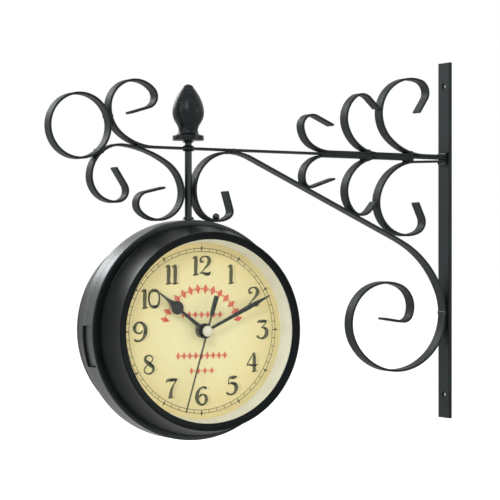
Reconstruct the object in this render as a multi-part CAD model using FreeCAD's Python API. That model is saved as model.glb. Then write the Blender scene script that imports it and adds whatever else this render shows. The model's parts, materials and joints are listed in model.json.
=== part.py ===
import FreeCAD, Part
import math
import os

from FreeCAD import Placement, Rotation, Vector

# Double-sided station clock on a scrolled iron wall bracket. Millimetres, +Z up.
# The origin is the centre of the wall plate's back face. The bracket reaches out along -X,
# and the two clock faces look along -Y (front) and +Y (rear).

# ---------------------------------------------------------------- wall plate
PLATE_WIDTH = 19.0
PLATE_HEIGHT = 318.0
PLATE_THICKNESS = 3.0
PLATE_EDGE_RADIUS = 0.8
PLATE_HOLE_RADIUS = 2.75
PLATE_HOLE_SPACING = 276.0

# ---------------------------------------------------------------- bent strips
STRIP_WIDTH = 12.0
STRIP_THICKNESS = 2.0
WELD_GAP = 0.1
BAR_HEIGHT = 73.4
BAR_RISE_DEG = 0.85
# A strip is a chain of straight lengths and bends; a bend is (mid-line radius, turn in degrees).
TOP_BAR = [285.8, (47.9, -37.9), (28.0, -55.3), (22.9, -132.2), (9.4, -117.1), 17.5]
UPPER_LARGE = [23.0, (50.5, -42.6), (31.1, -152.8), (11.1, -106.2), 14.1]
UPPER_MEDIUM = [31.0, (32.9, -72.2), (23.8, -72.3), (10.3, -78.6)]
UPPER_SMALL = [36.2, (32.7, -29.4), (21.0, -55.5), (9.7, -119.3), 17.9]
LOWER_LARGE = [31.5, (39.5, 71.5), (28.8, 130.1), (10.5, 90.8), 14.1]
LOWER_MEDIUM = [30.2, (34.3, 63.3), (26.3, 69.9), (12.0, 99.1)]
LOWER_SMALL = [39.6, (26.1, 50.0), (17.7, 58.1), (7.2, 92.0), 22.4]
LOWER_LARGE_GAP = 0.6
LOWER_LARGE_DROOP_DEG = 2.8
SCROLL_STEP_CLEARANCE = 0.5
SCROLL_TIP_GAP = 0.5
SCROLL_BRACE_GAP = 0.2
# The brace is bent both ways from its crown, where it touches the bar's underside.
BRACE_ROD_GAP = 0.3
BRACE_CURL = [(43.7, 13.1), (32.2, 107.3), (19.8, 91.7), (6.2, 75.3), 16.0]
BRACE_CROWN_BEND = (43.7, -24.7)
BRACE_FOOT = [(279.0, -2.5), (85.7, -41.2), (50.5, -89.0), (48.1, -81.2), (36.1, -142.6), (20.4, -91.8),
              (8.3, -74.7), 18.8]
# The S scroll carries the free end: its lower curl first, then up and over under the bar's curl.
S_SCROLL_START_X = -278.8
S_SCROLL_START_Z = 43.8
S_SCROLL_START_DEG = 193.2
S_SCROLL = [17.6, (9.8, 122.6), (22.9, 143.5), (31.6, 46.4), (86.1, 29.2), (26.8, 89.8), (21.3, 105.8),
            (9.1, 112.3), 17.1]
RING_RADIUS = 26.7
WELD_RADIUS = 1.9
WELD_CAP_RADIUS = 2.5
WELD_CAP_HEIGHT = 0.8
ROD_WELD_REACH = 1.4
ROD_WELD_HEIGHT = 1.6

# ---------------------------------------------------------------- hanger rod and finial
ROD_X = -255.1
ROD_RADIUS = 3.0
ROD_HOLE_CLEARANCE = 0.08
FINIAL_BASE_ABOVE_BAR = 5.5
FINIAL_FLANGE_RADIUS = 13.4
FINIAL_FLANGE_THICKNESS = 4.5
FINIAL_FLANGE_EDGE = 0.9
FINIAL_NECK_RADIUS = 8.3
FINIAL_NECK_HEIGHT = 8.8
FINIAL_BELLY_RADIUS = 13.6
FINIAL_BELLY_HEIGHT = 24.7
FINIAL_SHOULDER_RADIUS = 11.0
FINIAL_SHOULDER_STEP = 10.0
FINIAL_UPPER_RADIUS = 9.2
FINIAL_TIP_RADIUS = 2.9
FINIAL_WAIST_FULLNESS = 0.45
FINIAL_FLARE_FULLNESS = 0.3
FINIAL_DOME_FULLNESS = 0.52
FINIAL_UPPER_SHARE = 1.15
FINIAL_HEIGHT = 47.8
FINIAL_SOCKET_DEPTH = 14.0
HEX_NUT_HEIGHT = 4.0
HEX_NUT_RADIUS = 5.8
COLLAR_RADIUS = 4.3
COLLAR_FLARE_RADIUS = 5.4
COLLAR_HEIGHT = 2.4
HANGER_WASHER_RADIUS = 8.0
WASHER_THICKNESS = 1.2
SWIVEL_GAP = 0.6
HANGER_GAP = 0.3
LOCK_SCREW_HEAD_RADIUS = 3.0
LOCK_SCREW_SHANK_RADIUS = 1.5
LOCK_SCREW_HEAD_SINK = 0.4

# ---------------------------------------------------------------- clock case
# The dial opening sets the case: every ring outside it is a stated step larger.
LENS_OPENING_RADIUS = 76.2
LENS_LAP = 3.1
BEZEL_LIP = 6.4
BEZEL_FLARE = 6.0
COLLAR_INSET = 4.6
DRUM_STEP = 4.0
DIAL_EDGE_GAP = 0.6
DIAL_SEAT_WIDTH = 14.0
REHAUT_REVEAL = 0.6
REHAUT_SLOPE = 3.0
REHAUT_FLANGE = 3.0
REHAUT_WALL = 0.9
LENS_RADIUS = LENS_OPENING_RADIUS + LENS_LAP
BEZEL_FRONT_RADIUS = LENS_OPENING_RADIUS + BEZEL_LIP
BEZEL_REAR_RADIUS = BEZEL_FRONT_RADIUS + BEZEL_FLARE
COLLAR_WALL_RADIUS = BEZEL_REAR_RADIUS - COLLAR_INSET
DRUM_RADIUS = BEZEL_REAR_RADIUS + DRUM_STEP
DIAL_RADIUS = COLLAR_WALL_RADIUS - DIAL_EDGE_GAP
DIAL_SEAT_INNER_RADIUS = COLLAR_WALL_RADIUS - DIAL_SEAT_WIDTH
REHAUT_OUTER_RADIUS = LENS_OPENING_RADIUS + REHAUT_REVEAL
REHAUT_INNER_RADIUS = REHAUT_OUTER_RADIUS - REHAUT_SLOPE
# Depths are counted out from the plane midway between the two dials.
DRUM_HALF_WIDTH = 12.1
SHEET = 1.0
DIAL_SEAT_Y = 25.5
DIAL_THICKNESS = 1.0
BEZEL_SKIRT = 4.1
BEZEL_STANDOFF = 21.3
LENS_RECESS = 2.9
LENS_THICKNESS = 2.0
LENS_BEVEL_RISE = 1.2
BEZEL_REAR_Y = DIAL_SEAT_Y - BEZEL_SKIRT
BEZEL_FRONT_Y = DIAL_SEAT_Y + BEZEL_STANDOFF
LENS_FRONT_Y = BEZEL_FRONT_Y - LENS_RECESS
LENS_OPENING_Y = LENS_FRONT_Y + LENS_BEVEL_RISE
BEZEL_HOLLOW = 1.4
BEZEL_WALL = 1.2
BEZEL_NOSE_WIDTH = 2.2
BEZEL_FIT_GAP = 0.1
DRUM_SHOULDER_RADIUS = 0.8
BAND_SETBACK = 2.2
HATCH_LOW_DEG = 18.7
HATCH_HIGH_DEG = 2.9
HATCH_HALF_WIDTH = 9.0
HATCH_GAP = 0.3
HATCH_SINK = 1.0
HATCH_NOTCH = 3.0

# ---------------------------------------------------------------- clock movement
MOVEMENT_SIZE = 56.0
MOVEMENT_DEPTH = 16.0
MOVEMENT_CORNER_RADIUS = 4.0
MOVEMENT_WALL = 1.5
BATTERY_RADIUS = 7.1
BATTERY_LENGTH = 49.2
BATTERY_CAP_RADIUS = 2.7
BATTERY_CAP_LENGTH = 1.0
BATTERY_GAP = 0.4
BOSS_RADIUS = 3.4
BOSS_PROJECTION = 4.6
TUBE_CLEARANCE = 0.08
SECOND_ARBOR_RADIUS = 0.6
MINUTE_TUBE_RADIUS = 1.5
HOUR_TUBE_RADIUS = 2.4
WHEEL_THICKNESS = 1.4
WHEEL_GAP = 0.6
MINUTE_MODULE = 0.5
MINUTE_PINION_TEETH = 12
REDUCTION_WHEEL_TEETH = 36
HOUR_MODULE = 0.48
REDUCTION_PINION_TEETH = 10
HOUR_WHEEL_TEETH = 40
SECOND_WHEEL_TEETH = 30
SECOND_MODULE = 0.5
PINION_OVERLAP = 0.4
ARBOR_END = 0.5
TOOTH_SHARE = 0.36
GEAR_CENTRE_CLEARANCE = 0.1
KNOB_RADIUS = 5.5
KNOB_THICKNESS = 3.5
KNOB_ARBOR_RADIUS = 1.0
COIL_RADIUS = 4.2
COIL_LENGTH = 16.0
COIL_CORE_RADIUS = 1.6
COIL_WALL_GAP = 0.6
STATOR_THICKNESS = 1.0
STATOR_POLE_REACH = 2.0
STATOR_FIT_GAP = 0.05
DIAL_NUT_RADIUS = 5.6
DIAL_NUT_HEIGHT = 2.2
DIAL_WASHER_RADIUS = 6.0
DIAL_WASHER_THICKNESS = 0.8

# ---------------------------------------------------------------- hands
HAND_THICKNESS = 0.6
HOUR_HAND_CLEARANCE = 6.1
HAND_STEP = 2.4
HOUR_HAND_Y = DIAL_SEAT_Y + DIAL_THICKNESS + HOUR_HAND_CLEARANCE
MINUTE_HAND_Y = HOUR_HAND_Y + HAND_STEP
SECOND_HAND_Y = MINUTE_HAND_Y + HAND_STEP
HOUR_HAND_LENGTH = 55.0
HOUR_DISC_DISTANCE = 31.8
HOUR_DISC_RADIUS = 5.6
HOUR_SPADE_HALF_WIDTH = 4.2
HOUR_SPADE_SINK = 0.7
HOUR_TIP_LENGTH = 7.0
HOUR_TIP_HALF_WIDTH = 0.9
HAND_TAPER = 0.7
NEEDLE_HALF_WIDTH = 0.4
HOUR_SHAFT_HALF_WIDTH = 1.7
HOUR_HUB_RADIUS = 6.4
MINUTE_HAND_LENGTH = 66.4
MINUTE_WIDEST_DISTANCE = 44.4
MINUTE_HALF_WIDTH = 2.0
MINUTE_HUB_RADIUS = 5.0
MINUTE_SHAFT_HALF_WIDTH = 1.1
SECOND_HAND_LENGTH = 70.0
SECOND_HALF_WIDTH = 0.75
SECOND_TAIL_LENGTH = 30.2
SECOND_SHOULDER_LENGTH = 3.5
SECOND_PADDLE_LENGTH = 18.0
SECOND_PADDLE_HALF_WIDTH = 2.2
SECOND_HUB_SHARE = 0.8
CAP_RADIUS = 4.5
CAP_HEIGHT = 2.0
HOUR_HAND_DEG = 307.8
MINUTE_HAND_DEG = 63.9
SECOND_HAND_DEG = 196.2

# ================================================================ helpers
BAR_HEADING = 180.0 - BAR_RISE_DEG
PLATE_FACE_X = -PLATE_THICKNESS
Y_AXIS = Vector(0, 1, 0)
ORIGIN = Vector(0, 0, 0)


def direction(degrees):
    return Vector(math.cos(math.radians(degrees)), 0, math.sin(math.radians(degrees)))


def normal(degrees):
    """The direction 90 degrees counter-clockwise from a heading, seen with +X right and +Z up."""
    return direction(degrees + 90.0)


def walk(start, heading, steps):
    """Follow a chain of steps; returns the (point, heading, step) stations and the final station."""
    stations = []
    point = start
    for step in steps:
        stations.append((point, heading, step))
        if isinstance(step, tuple):
            radius, turn = step
            side = math.copysign(1.0, turn)
            centre = point + normal(heading) * (side * radius)
            heading += turn
            point = centre - normal(heading) * (side * radius)
        else:
            point = point + direction(heading) * step
    stations.append((point, heading, None))
    return stations


def edge_point(point, heading, offset):
    return point + normal(heading) * offset


def side_edges(stations, offset):
    """The edges of one face of the strip, a constant offset from its mid-line."""
    edges = []
    for (point, heading, step), (next_point, next_heading, _) in zip(stations, stations[1:]):
        first = edge_point(point, heading, offset)
        last = edge_point(next_point, next_heading, offset)
        if isinstance(step, tuple):
            radius, turn = step
            side = math.copysign(1.0, turn)
            centre = point + normal(heading) * (side * radius)
            middle = centre - normal(heading + turn / 2.0) * (side * radius - offset)
            edges.append(Part.Arc(first, middle, last).toShape())
        else:
            edges.append(Part.LineSegment(first, last).toShape())
    return edges


def strip(start, heading, steps):
    """A flat strip bent along a chain of steps, its width centred on the XZ plane."""
    stations = walk(start, heading, steps)
    half = STRIP_THICKNESS / 2.0
    left = side_edges(stations, half)
    right = side_edges(stations, -half)
    caps = []
    for point, angle, _ in (stations[0], stations[-1]):
        cap = Part.LineSegment(edge_point(point, angle, half), edge_point(point, angle, -half))
        caps.append(cap.toShape())
    wire = Part.Wire(Part.__sortEdges__(left + right + caps))
    face = Part.Face(wire)
    face.translate(Vector(0, -STRIP_WIDTH / 2.0, 0))
    return face.extrude(Vector(0, STRIP_WIDTH, 0))


def mid_points(start, heading, steps, spacing=1.5):
    """Points along a strip's mid-line, used to measure how close two strips lie."""
    points = []
    for point, angle, step in walk(start, heading, steps)[:-1]:
        if isinstance(step, tuple):
            radius, turn = step
            count = max(2, int(radius * math.radians(abs(turn)) / spacing))
            points.append(point)
            for index in range(1, count + 1):
                points.append(walk(point, angle, [(radius, turn * index / count)])[-1][0])
        else:
            count = max(2, int(step / spacing))
            for index in range(count + 1):
                points.append(point + direction(angle) * (step * index / count))
    return points


def distance_between(points, others):
    return min(math.hypot(a.x - b.x, a.z - b.z) for a in points for b in others)


def bisect(gap_at, low, high, wanted):
    """The value between low and high where a falling gap reaches the wanted size."""
    for _ in range(24):
        middle = (low + high) / 2.0
        if gap_at(middle) > wanted:
            low = middle
        else:
            high = middle
    return low


def tip_towards(start, heading, steps, neighbour):
    """Add the straight tip that ends just short of the neighbouring scroll."""
    def gap_at(length):
        end, angle, _ = walk(start, heading, steps)[-1]
        return distance_between([end + direction(angle) * length], neighbour)
    length = bisect(gap_at, 1.0, STRIP_WIDTH * 2.0, STRIP_THICKNESS + SCROLL_TIP_GAP)
    return steps + [length]


def resized(steps, factor):
    """The same scroll with its bends made larger or smaller; straight lengths stay."""
    return [(step[0] * factor, step[1]) if isinstance(step, tuple) else step for step in steps]


def resting_on(start, heading, steps, below):
    """Bend the scroll as large as it can be before it touches the strip below it."""
    def gap_at(factor):
        return distance_between(mid_points(start, heading, resized(steps, factor)), below)
    factor = bisect(gap_at, 0.6, 1.3, STRIP_THICKNESS + SCROLL_BRACE_GAP)
    return resized(steps, factor)


def revolve(profile, centre_x=0.0, centre_z=0.0):
    """Revolve a closed (radius, y) outline about a line along Y. A 3-long entry is an arc's middle."""
    edges = []
    points = profile + [profile[0]]
    index = 0
    while index < len(points) - 1:
        first = Vector(points[index][0], points[index][1], 0)
        if len(points[index + 1]) == 3:
            middle = Vector(points[index + 1][0], points[index + 1][1], 0)
            last = Vector(points[index + 2][0], points[index + 2][1], 0)
            edges.append(Part.Arc(first, middle, last).toShape())
            index += 2
        else:
            last = Vector(points[index + 1][0], points[index + 1][1], 0)
            edges.append(Part.LineSegment(first, last).toShape())
            index += 1
    solid = Part.Face(Part.Wire(edges)).revolve(ORIGIN, Y_AXIS, 360)
    solid.translate(Vector(centre_x, 0, centre_z))
    return solid


def disc(radius, y_low, y_high, hole=0.0):
    """A washer-like disc about the Y axis."""
    shape = Part.makeCylinder(radius, y_high - y_low, Vector(0, y_low, 0), Y_AXIS)
    if hole:
        shape = shape.cut(Part.makeCylinder(hole, y_high - y_low + 2, Vector(0, y_low - 1, 0), Y_AXIS))
    return shape


def post(radius, z_low, z_high, x=0.0, hole=0.0):
    """A vertical round piece."""
    shape = Part.makeCylinder(radius, z_high - z_low, Vector(x, 0, z_low))
    if hole:
        shape = shape.cut(Part.makeCylinder(hole, z_high - z_low + 2, Vector(x, 0, z_low - 1)))
    return shape


def hexagon(radius, height):
    """A hexagonal prism along +Z, its corners at the given radius."""
    angles = [math.radians(60 * corner) for corner in range(7)]
    corners = [Vector(radius * math.cos(angle), radius * math.sin(angle), 0) for angle in angles]
    return Part.Face(Part.makePolygon(corners)).extrude(Vector(0, 0, height))


def block(x_low, x_high, y_low, y_high, z_low, z_high):
    return Part.makeBox(x_high - x_low, y_high - y_low, z_high - z_low, Vector(x_low, y_low, z_low))


def gear(teeth, module, y_low, y_high, hole, turned=0.0):
    """A straight-sided toothed wheel about the Y axis."""
    pitch_radius = teeth * module / 2.0
    tip_radius = pitch_radius + 0.8 * module
    root_radius = pitch_radius - 1.1 * module
    pitch_angle = 360.0 / teeth
    points = []
    for tooth in range(teeth):
        middle = tooth * pitch_angle + turned
        for radius, share in ((root_radius, -1.5), (tip_radius, -0.6), (tip_radius, 0.6), (root_radius, 1.5)):
            angle = middle + share * TOOTH_SHARE / 2.0 * pitch_angle
            points.append(direction(angle) * radius + Vector(0, y_low, 0))
    points.append(points[0])
    shape = Part.Face(Part.makePolygon(points)).extrude(Vector(0, y_high - y_low, 0))
    return shape.cut(Part.makeCylinder(hole, y_high - y_low + 2, Vector(0, y_low - 1, 0), Y_AXIS))


nodes = {}

# ================================================================ wall plate
def make_wall_plate():
    half_height = PLATE_HEIGHT / 2.0
    plate = block(PLATE_FACE_X, 0, -PLATE_WIDTH / 2.0, PLATE_WIDTH / 2.0, -half_height, half_height)
    front_edges = [edge for edge in plate.Edges if abs(edge.CenterOfMass.x - PLATE_FACE_X) < 0.01]
    plate = plate.makeFillet(PLATE_EDGE_RADIUS, front_edges)
    for side in (-1, 1):
        centre = Vector(PLATE_FACE_X - 1, 0, side * PLATE_HOLE_SPACING / 2.0)
        plate = plate.cut(Part.makeCylinder(PLATE_HOLE_RADIUS, PLATE_THICKNESS + 2, centre, Vector(1, 0, 0)))
    return plate


nodes["wall_plate"] = make_wall_plate()

# ================================================================ bracket strips
butt_x = PLATE_FACE_X - WELD_GAP


def on_bar(x, offset):
    """A point beside the bar's mid-line at a given X, offset square to it (up is positive)."""
    height = BAR_HEIGHT + (butt_x - x) * math.tan(math.radians(BAR_RISE_DEG))
    return Vector(x, 0, height) - normal(BAR_HEADING) * offset


def next_tail_x(tail_x, steps):
    """Where the next scroll's tail can begin: under the rising first bend of the one before."""
    radius = steps[1][0]
    rise = STRIP_THICKNESS + SCROLL_STEP_CLEARANCE
    return tail_x - steps[0] - math.sqrt(radius ** 2 - (radius - rise) ** 2)


bar_start = on_bar(butt_x, 0.0)
bar_mid = mid_points(bar_start, BAR_HEADING, TOP_BAR)
medium_tail_x = next_tail_x(butt_x, UPPER_LARGE)
small_tail_x = next_tail_x(medium_tail_x, UPPER_MEDIUM)

# Brace: its curl lies beside the rod and under the bar. From the crown backwards gives its start,
# then the straight run is as long as it takes for the big foot bend to touch the wall plate.
curl_reach = min(point.x for point in mid_points(ORIGIN, BAR_HEADING, BRACE_CURL, 0.2))
brace_crown_x = ROD_X + ROD_RADIUS + BRACE_ROD_GAP + STRIP_THICKNESS / 2.0 - curl_reach
brace_crown = on_bar(brace_crown_x, -(STRIP_THICKNESS + WELD_GAP))
curl_end, curl_heading, _ = walk(brace_crown, BAR_HEADING, BRACE_CURL)[-1]
brace_lead = [(step[0], -step[1]) if isinstance(step, tuple) else step for step in reversed(BRACE_CURL)]
foot_start, foot_heading, _ = walk(brace_crown, BAR_HEADING - 180.0, [BRACE_CROWN_BEND])[-1]
foot_reach = max(point.x for point in mid_points(foot_start, foot_heading, BRACE_FOOT, 0.2))
plate_contact_x = PLATE_FACE_X - WELD_GAP - STRIP_THICKNESS / 2.0
brace_run = (plate_contact_x - foot_reach) / math.cos(math.radians(foot_heading))
brace_steps = brace_lead + [BRACE_CROWN_BEND, brace_run] + BRACE_FOOT
brace_heading = curl_heading - 180.0
brace_mid = mid_points(curl_end, brace_heading, brace_steps)

# Scrolls above the bar, each lying on it.
layer = STRIP_THICKNESS
upper_large_start = on_bar(butt_x, layer)
upper_large_mid = mid_points(upper_large_start, BAR_HEADING, UPPER_LARGE)
upper_medium_start = on_bar(medium_tail_x, layer)
upper_medium_steps = tip_towards(upper_medium_start, BAR_HEADING, UPPER_MEDIUM, upper_large_mid)
upper_small_start = on_bar(small_tail_x, layer)

# Scrolls below the bar. The largest leaves the plate at a slight droop; the other two rest on the brace.
lower_large_start = on_bar(butt_x, -layer - LOWER_LARGE_GAP)
lower_large_heading = BAR_HEADING + LOWER_LARGE_DROOP_DEG
lower_large_mid = mid_points(lower_large_start, lower_large_heading, LOWER_LARGE)
lower_medium_start = on_bar(medium_tail_x, -layer)
lower_medium_bends = resting_on(lower_medium_start, BAR_HEADING, LOWER_MEDIUM, brace_mid)
lower_medium_steps = tip_towards(lower_medium_start, BAR_HEADING, lower_medium_bends, lower_large_mid)
lower_small_start = on_bar(small_tail_x, -layer)
lower_small_steps = resting_on(lower_small_start, BAR_HEADING, LOWER_SMALL, brace_mid)

s_scroll_start = Vector(S_SCROLL_START_X, 0, S_SCROLL_START_Z)
s_scroll_mid = mid_points(s_scroll_start, S_SCROLL_START_DEG, S_SCROLL)

rod_hole = post(ROD_RADIUS + ROD_HOLE_CLEARANCE, -PLATE_HEIGHT, PLATE_HEIGHT, ROD_X)
nodes["top_bar"] = strip(bar_start, BAR_HEADING, TOP_BAR).cut(rod_hole)
nodes["s_scroll"] = strip(s_scroll_start, S_SCROLL_START_DEG, S_SCROLL)
nodes["brace_scroll"] = strip(curl_end, brace_heading, brace_steps)
nodes["upper_large_scroll"] = strip(upper_large_start, BAR_HEADING, UPPER_LARGE)
nodes["upper_medium_scroll"] = strip(upper_medium_start, BAR_HEADING, upper_medium_steps)
nodes["upper_small_scroll"] = strip(upper_small_start, BAR_HEADING, UPPER_SMALL)
nodes["lower_large_scroll"] = strip(lower_large_start, lower_large_heading, LOWER_LARGE)
nodes["lower_medium_scroll"] = strip(lower_medium_start, BAR_HEADING, lower_medium_steps)
nodes["lower_small_scroll"] = strip(lower_small_start, BAR_HEADING, lower_small_steps)

# ---------------------------------------------------------------- ring between bar curl and S scroll
def bend_centre(start, heading, steps, index):
    """The centre of one bend of a strip."""
    point, angle, (radius, turn) = walk(start, heading, steps)[index]
    return point + normal(angle) * math.copysign(radius, turn)


def touching_circle(centre_a, reach_a, centre_b, reach_b):
    """The point at given distances from two centres, on the free-end side."""
    span = (centre_b - centre_a).Length
    along = (reach_a ** 2 - reach_b ** 2 + span ** 2) / (2.0 * span)
    across = math.sqrt(reach_a ** 2 - along ** 2)
    unit = (centre_b - centre_a) * (1.0 / span)
    side = Vector(-unit.z, 0, unit.x)
    options = [centre_a + unit * along + side * (across * sign) for sign in (-1, 1)]
    return min(options, key=lambda point: point.x)


RING_BAR_BEND = 2
RING_S_BEND = 5
bar_bend_centre = bend_centre(bar_start, BAR_HEADING, TOP_BAR, RING_BAR_BEND)
s_bend_centre = bend_centre(s_scroll_start, S_SCROLL_START_DEG, S_SCROLL, RING_S_BEND)
strip_spacing = STRIP_THICKNESS + WELD_GAP
ring_centre = touching_circle(bar_bend_centre, TOP_BAR[RING_BAR_BEND][0] + RING_RADIUS + strip_spacing,
                              s_bend_centre, S_SCROLL[RING_S_BEND][0] + RING_RADIUS + strip_spacing)
ring_half = STRIP_THICKNESS / 2.0
nodes["ring"] = disc(RING_RADIUS + ring_half, -STRIP_WIDTH / 2.0, STRIP_WIDTH / 2.0, RING_RADIUS - ring_half)
nodes["ring"].translate(ring_centre)

# ================================================================ clock height
# The case hangs so that its drum clears the lowest curls through a full turn of the swivel.
def swept_height(distance):
    """Highest point, above the clock's axis, that the turning drum reaches at a distance from the rod."""
    return math.sqrt(DRUM_RADIUS ** 2 - max(0.0, distance ** 2 - DRUM_HALF_WIDTH ** 2))


def highest_axis(points):
    near = [p for p in points if abs(p.x - ROD_X) < DRUM_RADIUS * 0.9 and p.z < BAR_HEIGHT / 2.0]
    return min(p.z - STRIP_THICKNESS / 2.0 - SWIVEL_GAP - swept_height(abs(p.x - ROD_X)) for p in near)


brace_curl_mid = mid_points(brace_crown, BAR_HEADING, BRACE_CURL, 0.5)
s_curl_mid = mid_points(s_scroll_start, S_SCROLL_START_DEG, S_SCROLL, 0.5)
CLOCK_Z = min(highest_axis(brace_curl_mid), highest_axis(s_curl_mid))
drum_top = CLOCK_Z + DRUM_RADIUS
drum_inside_top = CLOCK_Z + math.sqrt((DRUM_RADIUS - 2.0 * SHEET) ** 2 - HANGER_WASHER_RADIUS ** 2)

# ================================================================ hanger rod, finial, fastenings
bar_top = on_bar(ROD_X, STRIP_THICKNESS / 2.0).z
bar_bottom = on_bar(ROD_X, -STRIP_THICKNESS / 2.0).z
washer_top = drum_inside_top - HANGER_GAP
hanger_nut_top = washer_top - WASHER_THICKNESS
rod_bottom = hanger_nut_top - HEX_NUT_HEIGHT - 1.5
finial_base = bar_top + FINIAL_BASE_ABOVE_BAR
rod_top = finial_base + FINIAL_SOCKET_DEPTH
nodes["hanger_rod"] = post(ROD_RADIUS, rod_bottom, rod_top - 0.3, ROD_X)


def make_finial():
    """Cast acorn: flange, waist, belly and blunt tip, with a blind socket for the rod."""
    edge = FINIAL_FLANGE_EDGE
    flange = FINIAL_FLANGE_RADIUS
    flange_top = FINIAL_FLANGE_THICKNESS
    low_shoulder = FINIAL_BELLY_HEIGHT - FINIAL_SHOULDER_STEP
    high_shoulder = FINIAL_BELLY_HEIGHT + FINIAL_SHOULDER_STEP * FINIAL_UPPER_SHARE
    waist_rise = (FINIAL_NECK_HEIGHT - flange_top) * FINIAL_WAIST_FULLNESS
    neck_out = FINIAL_SHOULDER_RADIUS - FINIAL_NECK_RADIUS
    neck_rise = low_shoulder - FINIAL_NECK_HEIGHT
    tip_out = FINIAL_UPPER_RADIUS - FINIAL_TIP_RADIUS
    tip_rise = FINIAL_HEIGHT - high_shoulder
    profile = [
        (0, 0), (flange - edge, 0), (flange, edge), (flange, flange_top - edge), (flange - edge, flange_top),
        (FINIAL_NECK_RADIUS + edge * 1.1, flange_top + waist_rise, "arc"), (FINIAL_NECK_RADIUS, FINIAL_NECK_HEIGHT),
        (FINIAL_NECK_RADIUS + neck_out * FINIAL_FLARE_FULLNESS, FINIAL_NECK_HEIGHT + neck_rise * 0.55, "arc"),
        (FINIAL_SHOULDER_RADIUS, low_shoulder),
        (FINIAL_BELLY_RADIUS, FINIAL_BELLY_HEIGHT, "arc"), (FINIAL_UPPER_RADIUS, high_shoulder),
        (FINIAL_TIP_RADIUS + tip_out * FINIAL_DOME_FULLNESS, high_shoulder + tip_rise * FINIAL_DOME_FULLNESS, "arc"),
        (FINIAL_TIP_RADIUS, FINIAL_HEIGHT), (0, FINIAL_HEIGHT),
    ]
    solid = revolve(profile)
    solid.rotate(ORIGIN, Vector(1, 0, 0), 90)
    solid = solid.cut(post(ROD_RADIUS + ROD_HOLE_CLEARANCE, -1, FINIAL_SOCKET_DEPTH))
    solid.translate(Vector(ROD_X, 0, finial_base))
    return solid


def make_hanger_nut():
    """The nut inside the case that the clock's weight rests on, through the washer."""
    nut = hexagon(HEX_NUT_RADIUS, HEX_NUT_HEIGHT)
    nut.translate(Vector(ROD_X, 0, hanger_nut_top - HEX_NUT_HEIGHT))
    return nut.cut(rod_hole)


def make_collar():
    """Flared collar round the rod's foot, just above the case."""
    base = drum_top + HANGER_GAP
    flare = Part.makeCone(COLLAR_FLARE_RADIUS, COLLAR_RADIUS, COLLAR_HEIGHT / 2.0, Vector(ROD_X, 0, base))
    neck = post(COLLAR_RADIUS, base + COLLAR_HEIGHT / 2.0, base + COLLAR_HEIGHT, ROD_X)
    return flare.fuse(neck).removeSplitter().cut(rod_hole)


nodes["finial"] = make_finial()
nodes["hanger_nut"] = make_hanger_nut()
nodes["rod_collar"] = make_collar()
nodes["hanger_washer"] = post(HANGER_WASHER_RADIUS, washer_top - WASHER_THICKNESS, washer_top, ROD_X,
                              ROD_RADIUS + ROD_HOLE_CLEARANCE)

# ---------------------------------------------------------------- lock screw through the brace's lowest curl
lowest = min(brace_curl_mid, key=lambda point: point.z)
screw_hole = post(LOCK_SCREW_SHANK_RADIUS + ROD_HOLE_CLEARANCE, lowest.z - 5, lowest.z + 5, lowest.x)
nodes["brace_scroll"] = nodes["brace_scroll"].cut(screw_hole)
strip_face = lowest.z + STRIP_THICKNESS / 2.0
head_base = strip_face + WELD_GAP
head_centre = Vector(lowest.x, 0, strip_face + LOCK_SCREW_HEAD_RADIUS - LOCK_SCREW_HEAD_SINK)
screw_head = Part.makeSphere(LOCK_SCREW_HEAD_RADIUS, head_centre)
screw_head = screw_head.common(block(lowest.x - 5, lowest.x + 5, -5, 5, head_base, head_base + 9))
screw_shank = post(LOCK_SCREW_SHANK_RADIUS, lowest.z - STRIP_THICKNESS / 2.0, head_base + 1.0, lowest.x)
nodes["lock_screw"] = screw_head.fuse(screw_shank).removeSplitter()

# ---------------------------------------------------------------- weld beads
def nearest_pair(points, others):
    return min(((a, b) for a in points for b in others), key=lambda pair: (pair[0] - pair[1]).Length)


def bead(first, second, node_names):
    """A weld run across the strips where two of them meet, with a lump over their edges at each end."""
    centre = (first + second) * 0.5
    edge = STRIP_WIDTH / 2.0 + WELD_GAP
    run = disc(WELD_RADIUS, -edge, edge)
    for side in (-1, 1):
        low, high = sorted((side * edge, side * (edge + WELD_CAP_HEIGHT)))
        run = run.fuse(disc(WELD_CAP_RADIUS, low, high))
    run.translate(centre)
    for name in node_names:
        run = run.cut(nodes[name])
    return [solid for solid in run.Solids if solid.Volume > 1.0]


def rod_fillet(z_wide, z_narrow):
    """A weld ring round the rod, wide where it meets the bar or the finial."""
    low, high = min(z_wide, z_narrow), max(z_wide, z_narrow)
    wide, narrow = ROD_RADIUS + ROD_WELD_REACH, ROD_RADIUS + ROD_WELD_REACH / 4.0
    radii = (wide, narrow) if z_wide < z_narrow else (narrow, wide)
    ring = Part.makeCone(radii[0], radii[1], high - low, Vector(ROD_X, 0, low))
    return ring.cut(nodes["top_bar"]).cut(rod_hole).Solids


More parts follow.
